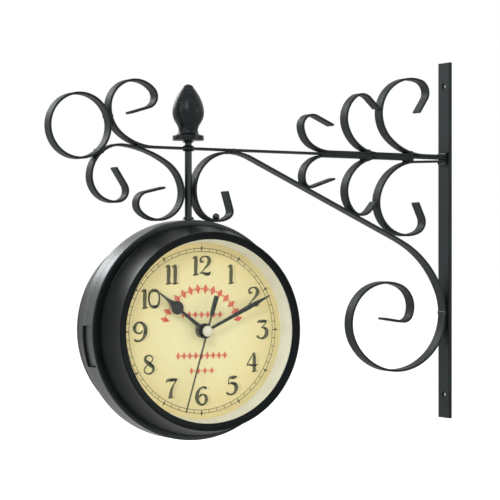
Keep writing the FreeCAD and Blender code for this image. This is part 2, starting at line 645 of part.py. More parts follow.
def make_weld_beads():
    ring_mid = [ring_centre + direction(angle) * RING_RADIUS for angle in range(0, 360, 2)]
    beads = []
    pairs = [(bar_mid, ring_mid, "top_bar", "ring"), (s_scroll_mid, ring_mid, "s_scroll", "ring"),
             (bar_mid, s_scroll_mid, "top_bar", "s_scroll"), (bar_mid, brace_mid, "top_bar", "brace_scroll")]
    for points, others, name, other in pairs:
        first, second = nearest_pair(points, others)
        beads += bead(first, second, [name, other])
    # Where a scroll's tail ends under the next one's rising bend.
    tail_weld = layer * 1.4
    for tail_x, offset, scroll, other in (
            (medium_tail_x, tail_weld, "upper_medium_scroll", "upper_large_scroll"),
            (small_tail_x, tail_weld, "upper_small_scroll", "upper_medium_scroll"),
            (medium_tail_x, -tail_weld, "lower_medium_scroll", "lower_large_scroll"),
            (small_tail_x, -tail_weld, "lower_small_scroll", "lower_medium_scroll")):
        spot = on_bar(tail_x, offset) + Vector(WELD_RADIUS, 0, 0)
        beads += bead(spot, spot, [scroll, other, "top_bar"])
    # Down the wall plate, above and below the stack of strips, and where the brace touches it.
    for offset in (layer * 1.5, -layer * 1.5 - LOWER_LARGE_GAP):
        corner = Vector(PLATE_FACE_X, 0, on_bar(butt_x, offset).z)
        beads += bead(corner, corner, ["wall_plate", "top_bar", "upper_large_scroll", "lower_large_scroll"])
    contact = max(brace_mid, key=lambda point: point.x)
    corner = Vector(PLATE_FACE_X - WELD_GAP / 2.0, 0, contact.z)
    beads += bead(corner, corner, ["wall_plate", "brace_scroll"])
    # Round the rod, above and below the bar and under the finial.
    rise = ROD_WELD_HEIGHT
    for z_wide, z_narrow in ((bar_top, bar_top + rise), (bar_bottom, bar_bottom - rise),
                             (finial_base - WELD_GAP, finial_base - WELD_GAP - rise)):
        beads += rod_fillet(z_wide, z_narrow)
    return Part.makeCompound(beads)


nodes["weld_beads"] = make_weld_beads()

# ================================================================ clock case
drum_centre = Vector(ROD_X, 0, CLOCK_Z)
FRONT_TURN = Rotation(Vector(0, 0, 1), 180)


def both_sides(shape):
    """One piece placed twice: the rear faces +Y as built, the front is turned about the rod."""
    rear = shape.copy()
    rear.translate(drum_centre)
    front = shape.copy()
    front.Placement = Placement(ORIGIN, FRONT_TURN).multiply(front.Placement)
    front.translate(drum_centre)
    return rear, front


def add_case_pair(name, shape):
    nodes["rear_" + name], nodes["front_" + name] = both_sides(shape)


def wedge(inner, outer, half_width, low_deg, high_deg):
    """A ring segment about Y, between two angles below the -X direction."""
    ring = disc(outer, -half_width, half_width, inner)
    corner_low = direction(180.0 + low_deg) * (outer * 1.5)
    corner_high = direction(180.0 + high_deg) * (outer * 1.5)
    outline = Part.makePolygon([ORIGIN, corner_low, corner_high, ORIGIN])
    slice_face = Part.Face(outline)
    slice_face.translate(Vector(0, -half_width, 0))
    return ring.common(slice_face.extrude(Vector(0, 2 * half_width, 0)))


hatch_window = wedge(DRUM_RADIUS * 0.9, DRUM_RADIUS * 1.1, HATCH_HALF_WIDTH, HATCH_LOW_DEG, -HATCH_HIGH_DEG)
rod_passage = post(ROD_RADIUS + ROD_HOLE_CLEARANCE, 0, DRUM_RADIUS * 1.2)


def drum_half():
    """One pressed half of the drum: rim wall, shoulder, collar for the bezel and the dial's seat."""
    shoulder = DRUM_SHOULDER_RADIUS
    inner = DRUM_RADIUS - SHEET
    rounded = shoulder * (1.0 - math.sqrt(0.5))
    profile = [
        (inner, 0.0), (DRUM_RADIUS, 0.0), (DRUM_RADIUS, DRUM_HALF_WIDTH - shoulder),
        (DRUM_RADIUS - rounded, DRUM_HALF_WIDTH - rounded, "arc"), (DRUM_RADIUS - shoulder, DRUM_HALF_WIDTH),
        (COLLAR_WALL_RADIUS, DRUM_HALF_WIDTH), (COLLAR_WALL_RADIUS, DIAL_SEAT_Y),
        (DIAL_SEAT_INNER_RADIUS, DIAL_SEAT_Y), (DIAL_SEAT_INNER_RADIUS, DIAL_SEAT_Y - SHEET),
        (COLLAR_WALL_RADIUS - SHEET, DIAL_SEAT_Y - SHEET), (COLLAR_WALL_RADIUS - SHEET, DRUM_HALF_WIDTH - SHEET),
        (inner, DRUM_HALF_WIDTH - SHEET),
    ]
    return revolve(profile)


def make_drum():
    half = drum_half()
    rear = half.cut(hatch_window).cut(rod_passage)
    rear.translate(drum_centre)
    nodes["rear_drum_shell"] = rear
    front = half.mirror(ORIGIN, Y_AXIS).cut(hatch_window).cut(rod_passage)
    front.translate(drum_centre)
    nodes["front_drum_shell"] = front
    band_half = DRUM_HALF_WIDTH - BAND_SETBACK
    band = disc(DRUM_RADIUS - SHEET, -band_half, band_half, DRUM_RADIUS - 2.0 * SHEET)
    band = band.cut(hatch_window).cut(rod_passage)
    band.translate(drum_centre)
    nodes["drum_joining_band"] = band


def make_hatch_cover():
    """Curved cover that drops into the window, sunk below the joining band, with a notch at each end."""
    gap_deg = math.degrees(HATCH_GAP / DRUM_RADIUS)
    outside = DRUM_RADIUS - SHEET - HATCH_SINK
    cover = wedge(outside - SHEET, outside, HATCH_HALF_WIDTH - HATCH_GAP,
                  HATCH_LOW_DEG - gap_deg, gap_deg - HATCH_HIGH_DEG)
    for angle in (HATCH_LOW_DEG, -HATCH_HIGH_DEG):
        reach = HATCH_NOTCH / 2.0
        notch = block(-reach, reach, -reach, reach, -HATCH_NOTCH, HATCH_NOTCH)
        notch.translate(direction(180.0 + angle) * DRUM_RADIUS)
        cover = cover.cut(notch)
    cover.translate(drum_centre)
    return cover


make_drum()
nodes["hatch_cover"] = make_hatch_cover()


def make_bezel():
    """Turned head ring: rear edge, hollow side, rounded nose and a bevel down to the lens."""
    middle_y = (BEZEL_REAR_Y + BEZEL_FRONT_Y) / 2.0
    middle_r = (BEZEL_REAR_RADIUS + BEZEL_FRONT_RADIUS) / 2.0 - BEZEL_HOLLOW
    collar = COLLAR_WALL_RADIUS + BEZEL_FIT_GAP
    nose_r = BEZEL_FRONT_RADIUS - BEZEL_NOSE_WIDTH / 2.0
    nose_base = BEZEL_FRONT_Y - BEZEL_NOSE_WIDTH / 2.0
    lens_pocket = LENS_RADIUS + BEZEL_FIT_GAP
    profile = [
        (collar, BEZEL_REAR_Y), (BEZEL_REAR_RADIUS, BEZEL_REAR_Y),
        (middle_r, middle_y, "arc"), (BEZEL_FRONT_RADIUS, nose_base),
        (nose_r, BEZEL_FRONT_Y, "arc"), (BEZEL_FRONT_RADIUS - BEZEL_NOSE_WIDTH, nose_base),
        (LENS_OPENING_RADIUS, LENS_OPENING_Y - LENS_BEVEL_RISE / 2.0), (LENS_OPENING_RADIUS, LENS_FRONT_Y),
        (lens_pocket, LENS_FRONT_Y), (lens_pocket, LENS_FRONT_Y - LENS_THICKNESS),
        (BEZEL_FRONT_RADIUS - BEZEL_WALL, LENS_FRONT_Y - LENS_THICKNESS),
        (middle_r - BEZEL_WALL, middle_y, "arc"), (BEZEL_REAR_RADIUS - BEZEL_WALL, BEZEL_REAR_Y + BEZEL_WALL),
        (collar, BEZEL_REAR_Y + BEZEL_WALL),
    ]
    return revolve(profile)


def make_rehaut():
    """Pale sloping ring between the dial and the lens."""
    front_y = LENS_FRONT_Y - LENS_THICKNESS - BEZEL_FIT_GAP
    base_y = DIAL_SEAT_Y + DIAL_THICKNESS
    flange = REHAUT_OUTER_RADIUS + REHAUT_FLANGE
    profile = [
        (REHAUT_INNER_RADIUS, base_y), (flange, base_y), (flange, base_y + REHAUT_WALL),
        (REHAUT_INNER_RADIUS + REHAUT_WALL, base_y + REHAUT_WALL), (REHAUT_OUTER_RADIUS + REHAUT_WALL, front_y),
        (REHAUT_OUTER_RADIUS, front_y),
    ]
    return revolve(profile)


add_case_pair("bezel", make_bezel())
add_case_pair("lens", disc(LENS_RADIUS, LENS_FRONT_Y - LENS_THICKNESS, LENS_FRONT_Y))
add_case_pair("rehaut", make_rehaut())
dial_top = DIAL_SEAT_Y + DIAL_THICKNESS
add_case_pair("dial", disc(DIAL_RADIUS, DIAL_SEAT_Y, dial_top, BOSS_RADIUS + TUBE_CLEARANCE))

# ================================================================ movement
back_y = DIAL_SEAT_Y - MOVEMENT_DEPTH
half_size = MOVEMENT_SIZE / 2.0
cover_front_y = back_y + MOVEMENT_WALL
cavity_front_y = DIAL_SEAT_Y - MOVEMENT_WALL
battery_bay_top = -half_size + MOVEMENT_WALL + 2.0 * (BATTERY_RADIUS + BATTERY_GAP)
partition_top = battery_bay_top + MOVEMENT_WALL
boss_top = dial_top + BOSS_PROJECTION
reduction_distance = MINUTE_MODULE * (MINUTE_PINION_TEETH + REDUCTION_WHEEL_TEETH) / 2.0 + GEAR_CENTRE_CLEARANCE
hour_wheel_top = cavity_front_y - WHEEL_GAP / 2.0
hour_wheel_low = hour_wheel_top - WHEEL_THICKNESS
minute_wheel_top = hour_wheel_low - WHEEL_GAP * 3.0
minute_wheel_low = minute_wheel_top - WHEEL_THICKNESS
second_wheel_top = minute_wheel_low - WHEEL_GAP * 3.0
second_wheel_low = second_wheel_top - WHEEL_THICKNESS
inner = half_size - MOVEMENT_WALL
reduction_place = Vector(0, 0, reduction_distance)
arbor_hole = KNOB_ARBOR_RADIUS + TUBE_CLEARANCE


def make_housing():
    """Square movement case: gear room above, battery bay below open to the back, threaded boss in front."""
    body = block(-half_size, half_size, back_y, DIAL_SEAT_Y, -half_size, half_size)
    corners = [edge for edge in body.Edges if abs(edge.Vertexes[0].Y - edge.Vertexes[-1].Y) > 1.0]
    body = body.makeFillet(MOVEMENT_CORNER_RADIUS, corners)
    body = body.fuse(disc(BOSS_RADIUS, DIAL_SEAT_Y - 1.0, boss_top))
    body = body.cut(block(-inner, inner, back_y - 1, cavity_front_y, partition_top, inner))
    bay_half = BATTERY_LENGTH / 2.0 + BATTERY_GAP + BATTERY_CAP_LENGTH
    body = body.cut(block(-bay_half, bay_half, back_y - 1, cavity_front_y, -inner, battery_bay_top))
    return body.cut(disc(HOUR_TUBE_RADIUS + TUBE_CLEARANCE, back_y, boss_top + 1)).removeSplitter()


def make_movement_cover():
    """Back plate of the gear room, with the arbor holes."""
    gap = BEZEL_FIT_GAP
    cover = block(-inner + gap, inner - gap, back_y, cover_front_y, partition_top + gap, inner - gap)
    hole = Part.makeCylinder(arbor_hole, MOVEMENT_WALL + 2, reduction_place + Vector(0, back_y - 1, 0), Y_AXIS)
    return cover.cut(hole)


def make_battery():
    centre_y = cavity_front_y - BATTERY_RADIUS - BATTERY_GAP / 2.0
    centre_z = -inner + BATTERY_RADIUS + BATTERY_GAP
    start = Vector(-BATTERY_LENGTH / 2.0, centre_y, centre_z)
    can = Part.makeCylinder(BATTERY_RADIUS, BATTERY_LENGTH, start, Vector(1, 0, 0))
    cap_start = start + Vector(BATTERY_LENGTH - 0.1, 0, 0)
    cap = Part.makeCylinder(BATTERY_CAP_RADIUS, BATTERY_CAP_LENGTH, cap_start, Vector(1, 0, 0))
    return can.fuse(cap).removeSplitter()


def make_setting_knob():
    """Knob at the back, its arbor, the reduction wheel and the pinion that drives the hour wheel."""
    core = KNOB_ARBOR_RADIUS / 2.0
    wheel = gear(REDUCTION_WHEEL_TEETH, MINUTE_MODULE, minute_wheel_low, minute_wheel_top, core, -90.0)
    pinion = gear(REDUCTION_PINION_TEETH, HOUR_MODULE, minute_wheel_top - 0.1, hour_wheel_top, core, -90.0)
    arbor = disc(KNOB_ARBOR_RADIUS, back_y - KNOB_THICKNESS, hour_wheel_top)
    knob = disc(KNOB_RADIUS, back_y - KNOB_THICKNESS - HATCH_GAP, back_y - HATCH_GAP)
    shape = wheel.fuse([pinion, arbor, knob])
    shape.translate(reduction_place)
    return shape


def make_hour_wheel():
    in_mesh = 90.0 + 180.0 / HOUR_WHEEL_TEETH
    core = HOUR_TUBE_RADIUS - 0.2
    wheel = gear(HOUR_WHEEL_TEETH, HOUR_MODULE, hour_wheel_low, hour_wheel_top, core, in_mesh)
    tube = disc(HOUR_TUBE_RADIUS, hour_wheel_low, HOUR_HAND_Y + HAND_THICKNESS, MINUTE_TUBE_RADIUS + TUBE_CLEARANCE)
    return wheel.fuse(tube).removeSplitter()


def make_minute_wheel():
    in_mesh = 90.0 + 180.0 / MINUTE_PINION_TEETH
    low = minute_wheel_low - PINION_OVERLAP
    core = MINUTE_TUBE_RADIUS - 0.2
    pinion = gear(MINUTE_PINION_TEETH, MINUTE_MODULE, low, minute_wheel_top + PINION_OVERLAP, core, in_mesh)
    tube = disc(MINUTE_TUBE_RADIUS, low, MINUTE_HAND_Y + HAND_THICKNESS, SECOND_ARBOR_RADIUS + TUBE_CLEARANCE)
    return pinion.fuse(tube).removeSplitter()


def make_second_wheel():
    core = SECOND_ARBOR_RADIUS / 2.0
    wheel = gear(SECOND_WHEEL_TEETH, SECOND_MODULE, second_wheel_low, second_wheel_top, core)
    arbor = disc(SECOND_ARBOR_RADIUS, cover_front_y + HATCH_GAP, SECOND_HAND_Y + HAND_THICKNESS + ARBOR_END)
    return wheel.fuse(arbor).removeSplitter()


coil_x = -(inner - COIL_RADIUS - COIL_WALL_GAP)
coil_y = cover_front_y + COIL_RADIUS + COIL_WALL_GAP
coil_low = partition_top + COIL_WALL_GAP * 4.0


def make_coil():
    """Wound coil of the stepping motor, standing beside the wheels."""
    coil = Part.makeCylinder(COIL_RADIUS, COIL_LENGTH, Vector(coil_x, coil_y, coil_low))
    return coil.cut(Part.makeCylinder(COIL_CORE_RADIUS, COIL_LENGTH + 2, Vector(coil_x, coil_y, coil_low - 1)))


def make_stator():
    """Iron core through the coil, with a pole plate at each end that stands on the cover."""
    plate = STATOR_THICKNESS
    core_start = Vector(coil_x, coil_y, coil_low - plate / 2.0)
    core = Part.makeCylinder(COIL_CORE_RADIUS - STATOR_FIT_GAP, COIL_LENGTH + plate, core_start)
    poles = []
    for z_low in (coil_low - plate, coil_low + COIL_LENGTH):
        poles.append(block(coil_x - COIL_RADIUS, coil_x + COIL_RADIUS + STATOR_POLE_REACH, cover_front_y,
                           coil_y + COIL_RADIUS, z_low, z_low + plate))
    return core.fuse(poles).removeSplitter()


add_case_pair("movement_housing", make_housing())
add_case_pair("movement_cover", make_movement_cover())
add_case_pair("battery", make_battery())
add_case_pair("motor_coil", make_coil())
add_case_pair("motor_stator", make_stator())
dial_washer = disc(DIAL_WASHER_RADIUS, dial_top, dial_top + DIAL_WASHER_THICKNESS, BOSS_RADIUS + TUBE_CLEARANCE)
nodes["dial_washers"] = Part.makeCompound(both_sides(dial_washer))
add_case_pair("setting_knob", make_setting_knob())
add_case_pair("hour_wheel", make_hour_wheel())
add_case_pair("minute_wheel", make_minute_wheel())
add_case_pair("second_wheel", make_second_wheel())


def make_dial_nut():
    nut = hexagon(DIAL_NUT_RADIUS, DIAL_NUT_HEIGHT)
    nut.rotate(ORIGIN, Vector(1, 0, 0), -90)
    nut.translate(Vector(0, dial_top + DIAL_WASHER_THICKNESS, 0))
    return nut.cut(disc(BOSS_RADIUS + TUBE_CLEARANCE, dial_top - 1, boss_top + 2))


nodes["dial_nuts"] = Part.makeCompound(both_sides(make_dial_nut()))

# ================================================================ hands
# Each hand is drawn pointing to twelve along +Z, then turned clockwise as seen by the reader.
def plate_from(points, y_low, thickness):
    outline = [Vector(x, y_low, z) for x, z in points]
    return Part.Face(Part.makePolygon(outline + [outline[0]])).extrude(Vector(0, thickness, 0))


def turned_hand(shape, clock_degrees):
    shape.rotate(ORIGIN, Y_AXIS, -clock_degrees)
    return shape


def tapered(y_low, half_widths):
    """A flat blade along +Z from a list of (half width, distance from the hub), same on both sides."""
    right = [(width, distance) for width, distance in half_widths]
    left = [(-width, distance) for width, distance in reversed(half_widths)]
    return plate_from(right + left, y_low, HAND_THICKNESS)


def make_hour_hand():
    low = HOUR_HAND_Y
    width = HOUR_SHAFT_HALF_WIDTH
    shaft = tapered(low, [(width, 0), (width * HAND_TAPER, HOUR_DISC_DISTANCE)])
    round_part = disc(HOUR_DISC_RADIUS, low, low + HAND_THICKNESS)
    round_part.translate(Vector(0, 0, HOUR_DISC_DISTANCE))
    shoulder = HOUR_DISC_DISTANCE + HOUR_DISC_RADIUS * HOUR_SPADE_SINK
    point = tapered(low, [(HOUR_SPADE_HALF_WIDTH, shoulder), (HOUR_TIP_HALF_WIDTH, shoulder + HOUR_TIP_LENGTH),
                          (NEEDLE_HALF_WIDTH, HOUR_HAND_LENGTH)])
    hub = disc(HOUR_HUB_RADIUS, low, low + HAND_THICKNESS)
    hand = shaft.fuse([round_part, point, hub]).removeSplitter()
    return turned_hand(hand.cut(disc(HOUR_TUBE_RADIUS, low - 1, low + 2)), HOUR_HAND_DEG)


def make_minute_hand():
    low = MINUTE_HAND_Y
    blade = tapered(low, [(MINUTE_SHAFT_HALF_WIDTH, 0), (MINUTE_HALF_WIDTH, MINUTE_WIDEST_DISTANCE),
                          (NEEDLE_HALF_WIDTH, MINUTE_HAND_LENGTH)])
    hub = disc(MINUTE_HUB_RADIUS, low, low + HAND_THICKNESS)
    hand = blade.fuse(hub).removeSplitter()
    return turned_hand(hand.cut(disc(MINUTE_TUBE_RADIUS, low - 1, low + 2)), MINUTE_HAND_DEG)


def make_second_hand():
    low = SECOND_HAND_Y
    thin = SECOND_HALF_WIDTH
    paddle = SECOND_PADDLE_HALF_WIDTH
    paddle_start = -(SECOND_TAIL_LENGTH - SECOND_PADDLE_LENGTH)
    needle = tapered(low, [(thin, paddle_start), (thin * HAND_TAPER, SECOND_HAND_LENGTH)])
    tail = tapered(low, [(paddle, -SECOND_TAIL_LENGTH), (paddle, paddle_start - SECOND_SHOULDER_LENGTH),
                         (thin, paddle_start)])
    hub = disc(CAP_RADIUS * SECOND_HUB_SHARE, low, low + HAND_THICKNESS)
    hand = needle.fuse([tail, hub]).removeSplitter()
    return turned_hand(hand.cut(disc(SECOND_ARBOR_RADIUS, low - 1, low + 2)), SECOND_HAND_DEG)


def make_hand_cap():
    """Domed button that hides the end of the arbor."""
    low = SECOND_HAND_Y + HAND_THICKNESS
    cap = disc(CAP_RADIUS, low, low + CAP_HEIGHT)
    rim = [edge for edge in cap.Edges if abs(edge.CenterOfMass.y - low - CAP_HEIGHT) < 0.01]
    cap = cap.makeFillet(CAP_HEIGHT * 0.45, rim)
    return cap.cut(disc(SECOND_ARBOR_RADIUS, low - 1, low + ARBOR_END))


add_case_pair("hour_hand", make_hour_hand())
add_case_pair("minute_hand", make_minute_hand())
add_case_pair("second_hand", make_second_hand())
add_case_pair("hand_cap", make_hand_cap())

# ================================================================ export
os.makedirs("parts", exist_ok=True)
for name, shape in nodes.items():
    shape.exportStep("parts/" + name + ".step")
    print(name, "valid" if shape.isValid() else "INVALID", len(shape.Solids), round(shape.Volume, 1))
print("clock axis height", round(CLOCK_Z, 2), "brace run", round(brace_run, 2), "ring", ring_centre)
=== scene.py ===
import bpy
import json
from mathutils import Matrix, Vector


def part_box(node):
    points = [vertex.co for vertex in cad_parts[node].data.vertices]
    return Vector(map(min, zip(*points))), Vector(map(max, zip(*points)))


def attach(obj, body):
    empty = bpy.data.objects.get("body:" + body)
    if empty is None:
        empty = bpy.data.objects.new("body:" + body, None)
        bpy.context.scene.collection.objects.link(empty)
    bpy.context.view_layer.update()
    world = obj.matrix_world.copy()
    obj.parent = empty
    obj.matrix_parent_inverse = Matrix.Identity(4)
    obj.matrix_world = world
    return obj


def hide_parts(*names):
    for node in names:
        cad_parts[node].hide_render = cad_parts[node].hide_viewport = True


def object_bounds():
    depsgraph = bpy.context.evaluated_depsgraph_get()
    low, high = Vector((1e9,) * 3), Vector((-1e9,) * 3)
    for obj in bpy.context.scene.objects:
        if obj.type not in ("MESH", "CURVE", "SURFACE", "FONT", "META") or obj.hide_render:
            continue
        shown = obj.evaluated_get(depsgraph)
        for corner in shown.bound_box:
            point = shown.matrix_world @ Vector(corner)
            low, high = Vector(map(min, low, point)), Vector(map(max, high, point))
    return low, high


bl_info = {
    "name": "Bracket Station Clock",
    "version": (1, 0, 0),
    "blender": (4, 5, 0),
    "location": "3D View > Sidebar > Clock",
    "description": "Dresses a double-sided bracket clock and lights it in a plain studio",
    "category": "Object",
}

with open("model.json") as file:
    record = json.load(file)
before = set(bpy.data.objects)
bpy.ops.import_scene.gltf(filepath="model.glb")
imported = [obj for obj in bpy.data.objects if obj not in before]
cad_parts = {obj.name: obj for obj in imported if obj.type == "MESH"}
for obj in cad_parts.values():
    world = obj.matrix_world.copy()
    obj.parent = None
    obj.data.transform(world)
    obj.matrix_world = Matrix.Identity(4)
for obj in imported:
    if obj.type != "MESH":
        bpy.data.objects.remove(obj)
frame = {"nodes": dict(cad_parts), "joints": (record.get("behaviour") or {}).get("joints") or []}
cad_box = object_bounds()

import json
import math

import bmesh
import bpy
from mathutils import Matrix, Vector, noise

# The clock's centre is where its swivel stands; the dials are drawn in millimetres round it.
swivel = next(joint for joint in frame["joints"] if joint["name"] == "clock_swivel")
CLOCK_CENTRE = Vector(swivel["pos_m"])
SIDES = ("front", "rear")
# Height of each surface above the plane midway between the dials, read from the rear half's solids.
DIAL_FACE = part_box("rear_dial")[1].y * 1000.0
BEZEL_BACK, BEZEL_FRONT = (corner.y * 1000.0 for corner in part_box("rear_bezel"))
BEZEL_RADIUS = (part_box("rear_bezel")[1].x - CLOCK_CENTRE.x) * 1000.0
LENS_BACK, LENS_FRONT = (corner.y * 1000.0 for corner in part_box("rear_lens"))
LENS_RADIUS = (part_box("rear_lens")[1].x - CLOCK_CENTRE.x) * 1000.0
HAND_LEVELS = {hand: [corner.y * 1000.0 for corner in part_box("rear_" + hand + "_hand")]
               for hand in ("hour", "minute", "second")}
# Clockwise from twelve, at rest.
HAND_ANGLES = {"hour": 307.8, "minute": 63.9, "second": 196.2}

BRACKET_STRIPS = ("top_bar", "s_scroll", "brace_scroll",
                  "upper_large_scroll", "upper_medium_scroll", "upper_small_scroll",
                  "lower_large_scroll", "lower_medium_scroll", "lower_small_scroll", "ring")

# How deep ink is sunk into the dial and how far it stands out, so that no faces lie in one plane.
INK_FOOT, INK_TOP = DIAL_FACE - 0.02, DIAL_FACE + 0.05
# The middle of the small marks' thickness.
MARK_LEVEL, MARK_THICKNESS = DIAL_FACE + 0.02, 0.06

# Black enamel mirrors the studio a little cooler than it is.
COOL_SHEEN = (0.85, 0.95, 1.0, 1.0)
# Edges sharper than this stay sharp in the shading.
CREASE = math.radians(35)
# Vertices closer than these are one, in a mesh drawn in millimetres and in one drawn in metres.
SAME_MM, SAME_M = 1e-5, 1e-7


# ------------------------------------------------------------------------------------ colour and node helpers
def linear(shade):
    """An sRGB hex colour as the linear values that Blender's sockets take."""
    values = [int(shade[i:i + 2], 16) / 255.0 for i in (1, 3, 5)]
    return tuple(v / 12.92 if v <= 0.04045 else ((v + 0.055) / 1.055) ** 2.4 for v in values) + (1.0,)


def add_node(tree, kind, inputs=None, **settings):
    """Add one node, with its settings, then its inputs as values or as links."""
    node = tree.nodes.new(kind)
    for name, value in settings.items():
        setattr(node, name, value)
    for name, value in (inputs or {}).items():
        if isinstance(value, bpy.types.NodeSocket):
            tree.links.new(value, node.inputs[name])
        else:
            node.inputs[name].default_value = value
    return node


def blank_finish(name):
    """An empty node material and the piece's own coordinates in metres."""
    material = bpy.data.materials.new(name)
    material.use_nodes = True
    material.node_tree.nodes.clear()
    place = add_node(material.node_tree, "ShaderNodeTexCoord").outputs["Object"]
    return material, material.node_tree, place


def mottled_finish(name, first, second, patch_mm, grain_mm, depth_mm, roughness,
                   stretch=(1, 1, 1), **uniform):
    """A surface whose tone drifts in patches and whose relief and gloss vary with a finer grain."""
    material, tree, place = blank_finish(name)
    spread = add_node(tree, "ShaderNodeMapping", {"Vector": place, "Scale": stretch}).outputs[0]
    patches = add_node(tree, "ShaderNodeTexNoise", {
        "Vector": spread, "Scale": 1000.0 / patch_mm, "Detail": 4.0}).outputs[0]
    grain = add_node(tree, "ShaderNodeTexNoise", {
        "Vector": spread, "Scale": 1000.0 / grain_mm, "Detail": 3.0}).outputs[0]
    share = add_node(tree, "ShaderNodeMapRange", {"Value": patches, "From Min": 0.32, "From Max": 0.68})
    tone = add_node(tree, "ShaderNodeMix", {
        0: share.outputs[0], 6: linear(first), 7: linear(second)}, data_type="RGBA")
    gloss = add_node(tree, "ShaderNodeMapRange", {
        "Value": grain, "From Min": 0.3, "From Max": 0.7, "To Min": roughness[0], "To Max": roughness[1]})
    relief = add_node(tree, "ShaderNodeBump", {"Height": grain, "Distance": depth_mm * 0.001})
    shader = add_node(tree, "ShaderNodeBsdfPrincipled", {
        "Base Color": tone.outputs[2], "Roughness": gloss.outputs[0], "Normal": relief.outputs[0],
        **{socket.replace("_", " "): value for socket, value in uniform.items()}})
    add_node(tree, "ShaderNodeOutputMaterial", {"Surface": shader.outputs[0]})
    return material


# ------------------------------------------------------------------------------------ finishes
def printed_dial_finish(colours):
    """Antique cream ink on sheet aluminium: palest round the hands, deeper at the rim, faintly clouded."""
    material, tree, place = blank_finish("antique_cream_print")
    centred = add_node(tree, "ShaderNodeMapping", {"Vector": place, "Location": -CLOCK_CENTRE}).outputs[0]
    flat = add_node(tree, "ShaderNodeMapping", {"Vector": centred, "Scale": (1, 0, 1)}).outputs[0]
    distance = add_node(tree, "ShaderNodeVectorMath", {0: flat}, operation="LENGTH").outputs["Value"]
    outwards = add_node(tree, "ShaderNodeMapRange", {"Value": distance, "From Min": 0.018, "From Max": 0.080},
                        interpolation_type="SMOOTHSTEP")
    # Broad clouds where the ink was wiped, and the fine flecks of the print.
    clouds = add_node(tree, "ShaderNodeTexNoise", {"Vector": place, "Scale": 1000.0 / 22.0, "Detail": 5.0})
    speckle = add_node(tree, "ShaderNodeTexNoise", {"Vector": place, "Scale": 1000.0 / 1.6, "Detail": 2.0})
    cream = add_node(tree, "ShaderNodeMix", {
        0: outwards.outputs[0], 6: linear(colours.dial_centre), 7: linear(colours.dial_rim)},
        data_type="RGBA")
    veil = add_node(tree, "ShaderNodeMapRange", {
        "Value": clouds.outputs[0], "From Min": 0.35, "From Max": 0.75, "To Min": 0.0, "To Max": 0.35})
    clouded = add_node(tree, "ShaderNodeMix", {
        0: veil.outputs[0], 6: cream.outputs[2], 7: linear("#ecebb4")}, data_type="RGBA")
    fleck = add_node(tree, "ShaderNodeMapRange", {
        "Value": speckle.outputs[0], "From Min": 0.45, "From Max": 0.8, "To Min": 0.0, "To Max": 0.25})
    flecked = add_node(tree, "ShaderNodeMix", {
        0: fleck.outputs[0], 6: clouded.outputs[2], 7: linear("#e6c98e")}, data_type="RGBA")
    gloss = add_node(tree, "ShaderNodeMapRange", {
        "Value": speckle.outputs[0], "To Min": 0.45, "To Max": 0.6})
    shader = add_node(tree, "ShaderNodeBsdfPrincipled", {
        "Base Color": flecked.outputs[2], "Roughness": gloss.outputs[0], "Specular IOR Level": 0.25})
    add_node(tree, "ShaderNodeOutputMaterial", {"Surface": shader.outputs[0]})
    return material


def wound_copper_finish():
    """Enamelled copper wire: 0.2 mm turns drawn 0.5 mm apart so that they show, warm and glossy."""
    material, tree, place = blank_finish("enamelled_copper_winding")
    turns = add_node(tree, "ShaderNodeTexWave", {
        "Vector": place, "Scale": 1000.0 / 0.5 / 6.2832, "Distortion": 0.6}, bands_direction="Z")
    tone = add_node(tree, "ShaderNodeMix", {
        0: turns.outputs["Fac"], 6: linear("#7a3a1c"), 7: linear("#d08452")}, data_type="RGBA")
    relief = add_node(tree, "ShaderNodeBump", {"Height": turns.outputs["Fac"], "Distance": 0.0001})
    shader = add_node(tree, "ShaderNodeBsdfPrincipled", {
        "Base Color": tone.outputs[2], "Metallic": 1.0, "Roughness": 0.32, "Normal": relief.outputs[0]})
    add_node(tree, "ShaderNodeOutputMaterial", {"Surface": shader.outputs[0]})
    return material


def clear_glass_finish():
    """Float glass, 2 mm: nearly invisible face on, a soft sheen with the faintest smears."""
    material, tree, place = blank_finish("float_glass")
    smears = add_node(tree, "ShaderNodeTexNoise", {"Vector": place, "Scale": 1000.0 / 30.0, "Detail": 4.0})
    gloss = add_node(tree, "ShaderNodeMapRange", {"Value": smears.outputs[0], "To Min": 0.03, "To Max": 0.12})
    shader = add_node(tree, "ShaderNodeBsdfPrincipled", {
        "Base Color": linear("#f4f8f6"), "Roughness": gloss.outputs[0], "IOR": 1.52,
        "Transmission Weight": 1.0, "Alpha": 0.06})
    add_node(tree, "ShaderNodeOutputMaterial", {"Surface": shader.outputs[0]})
    return material


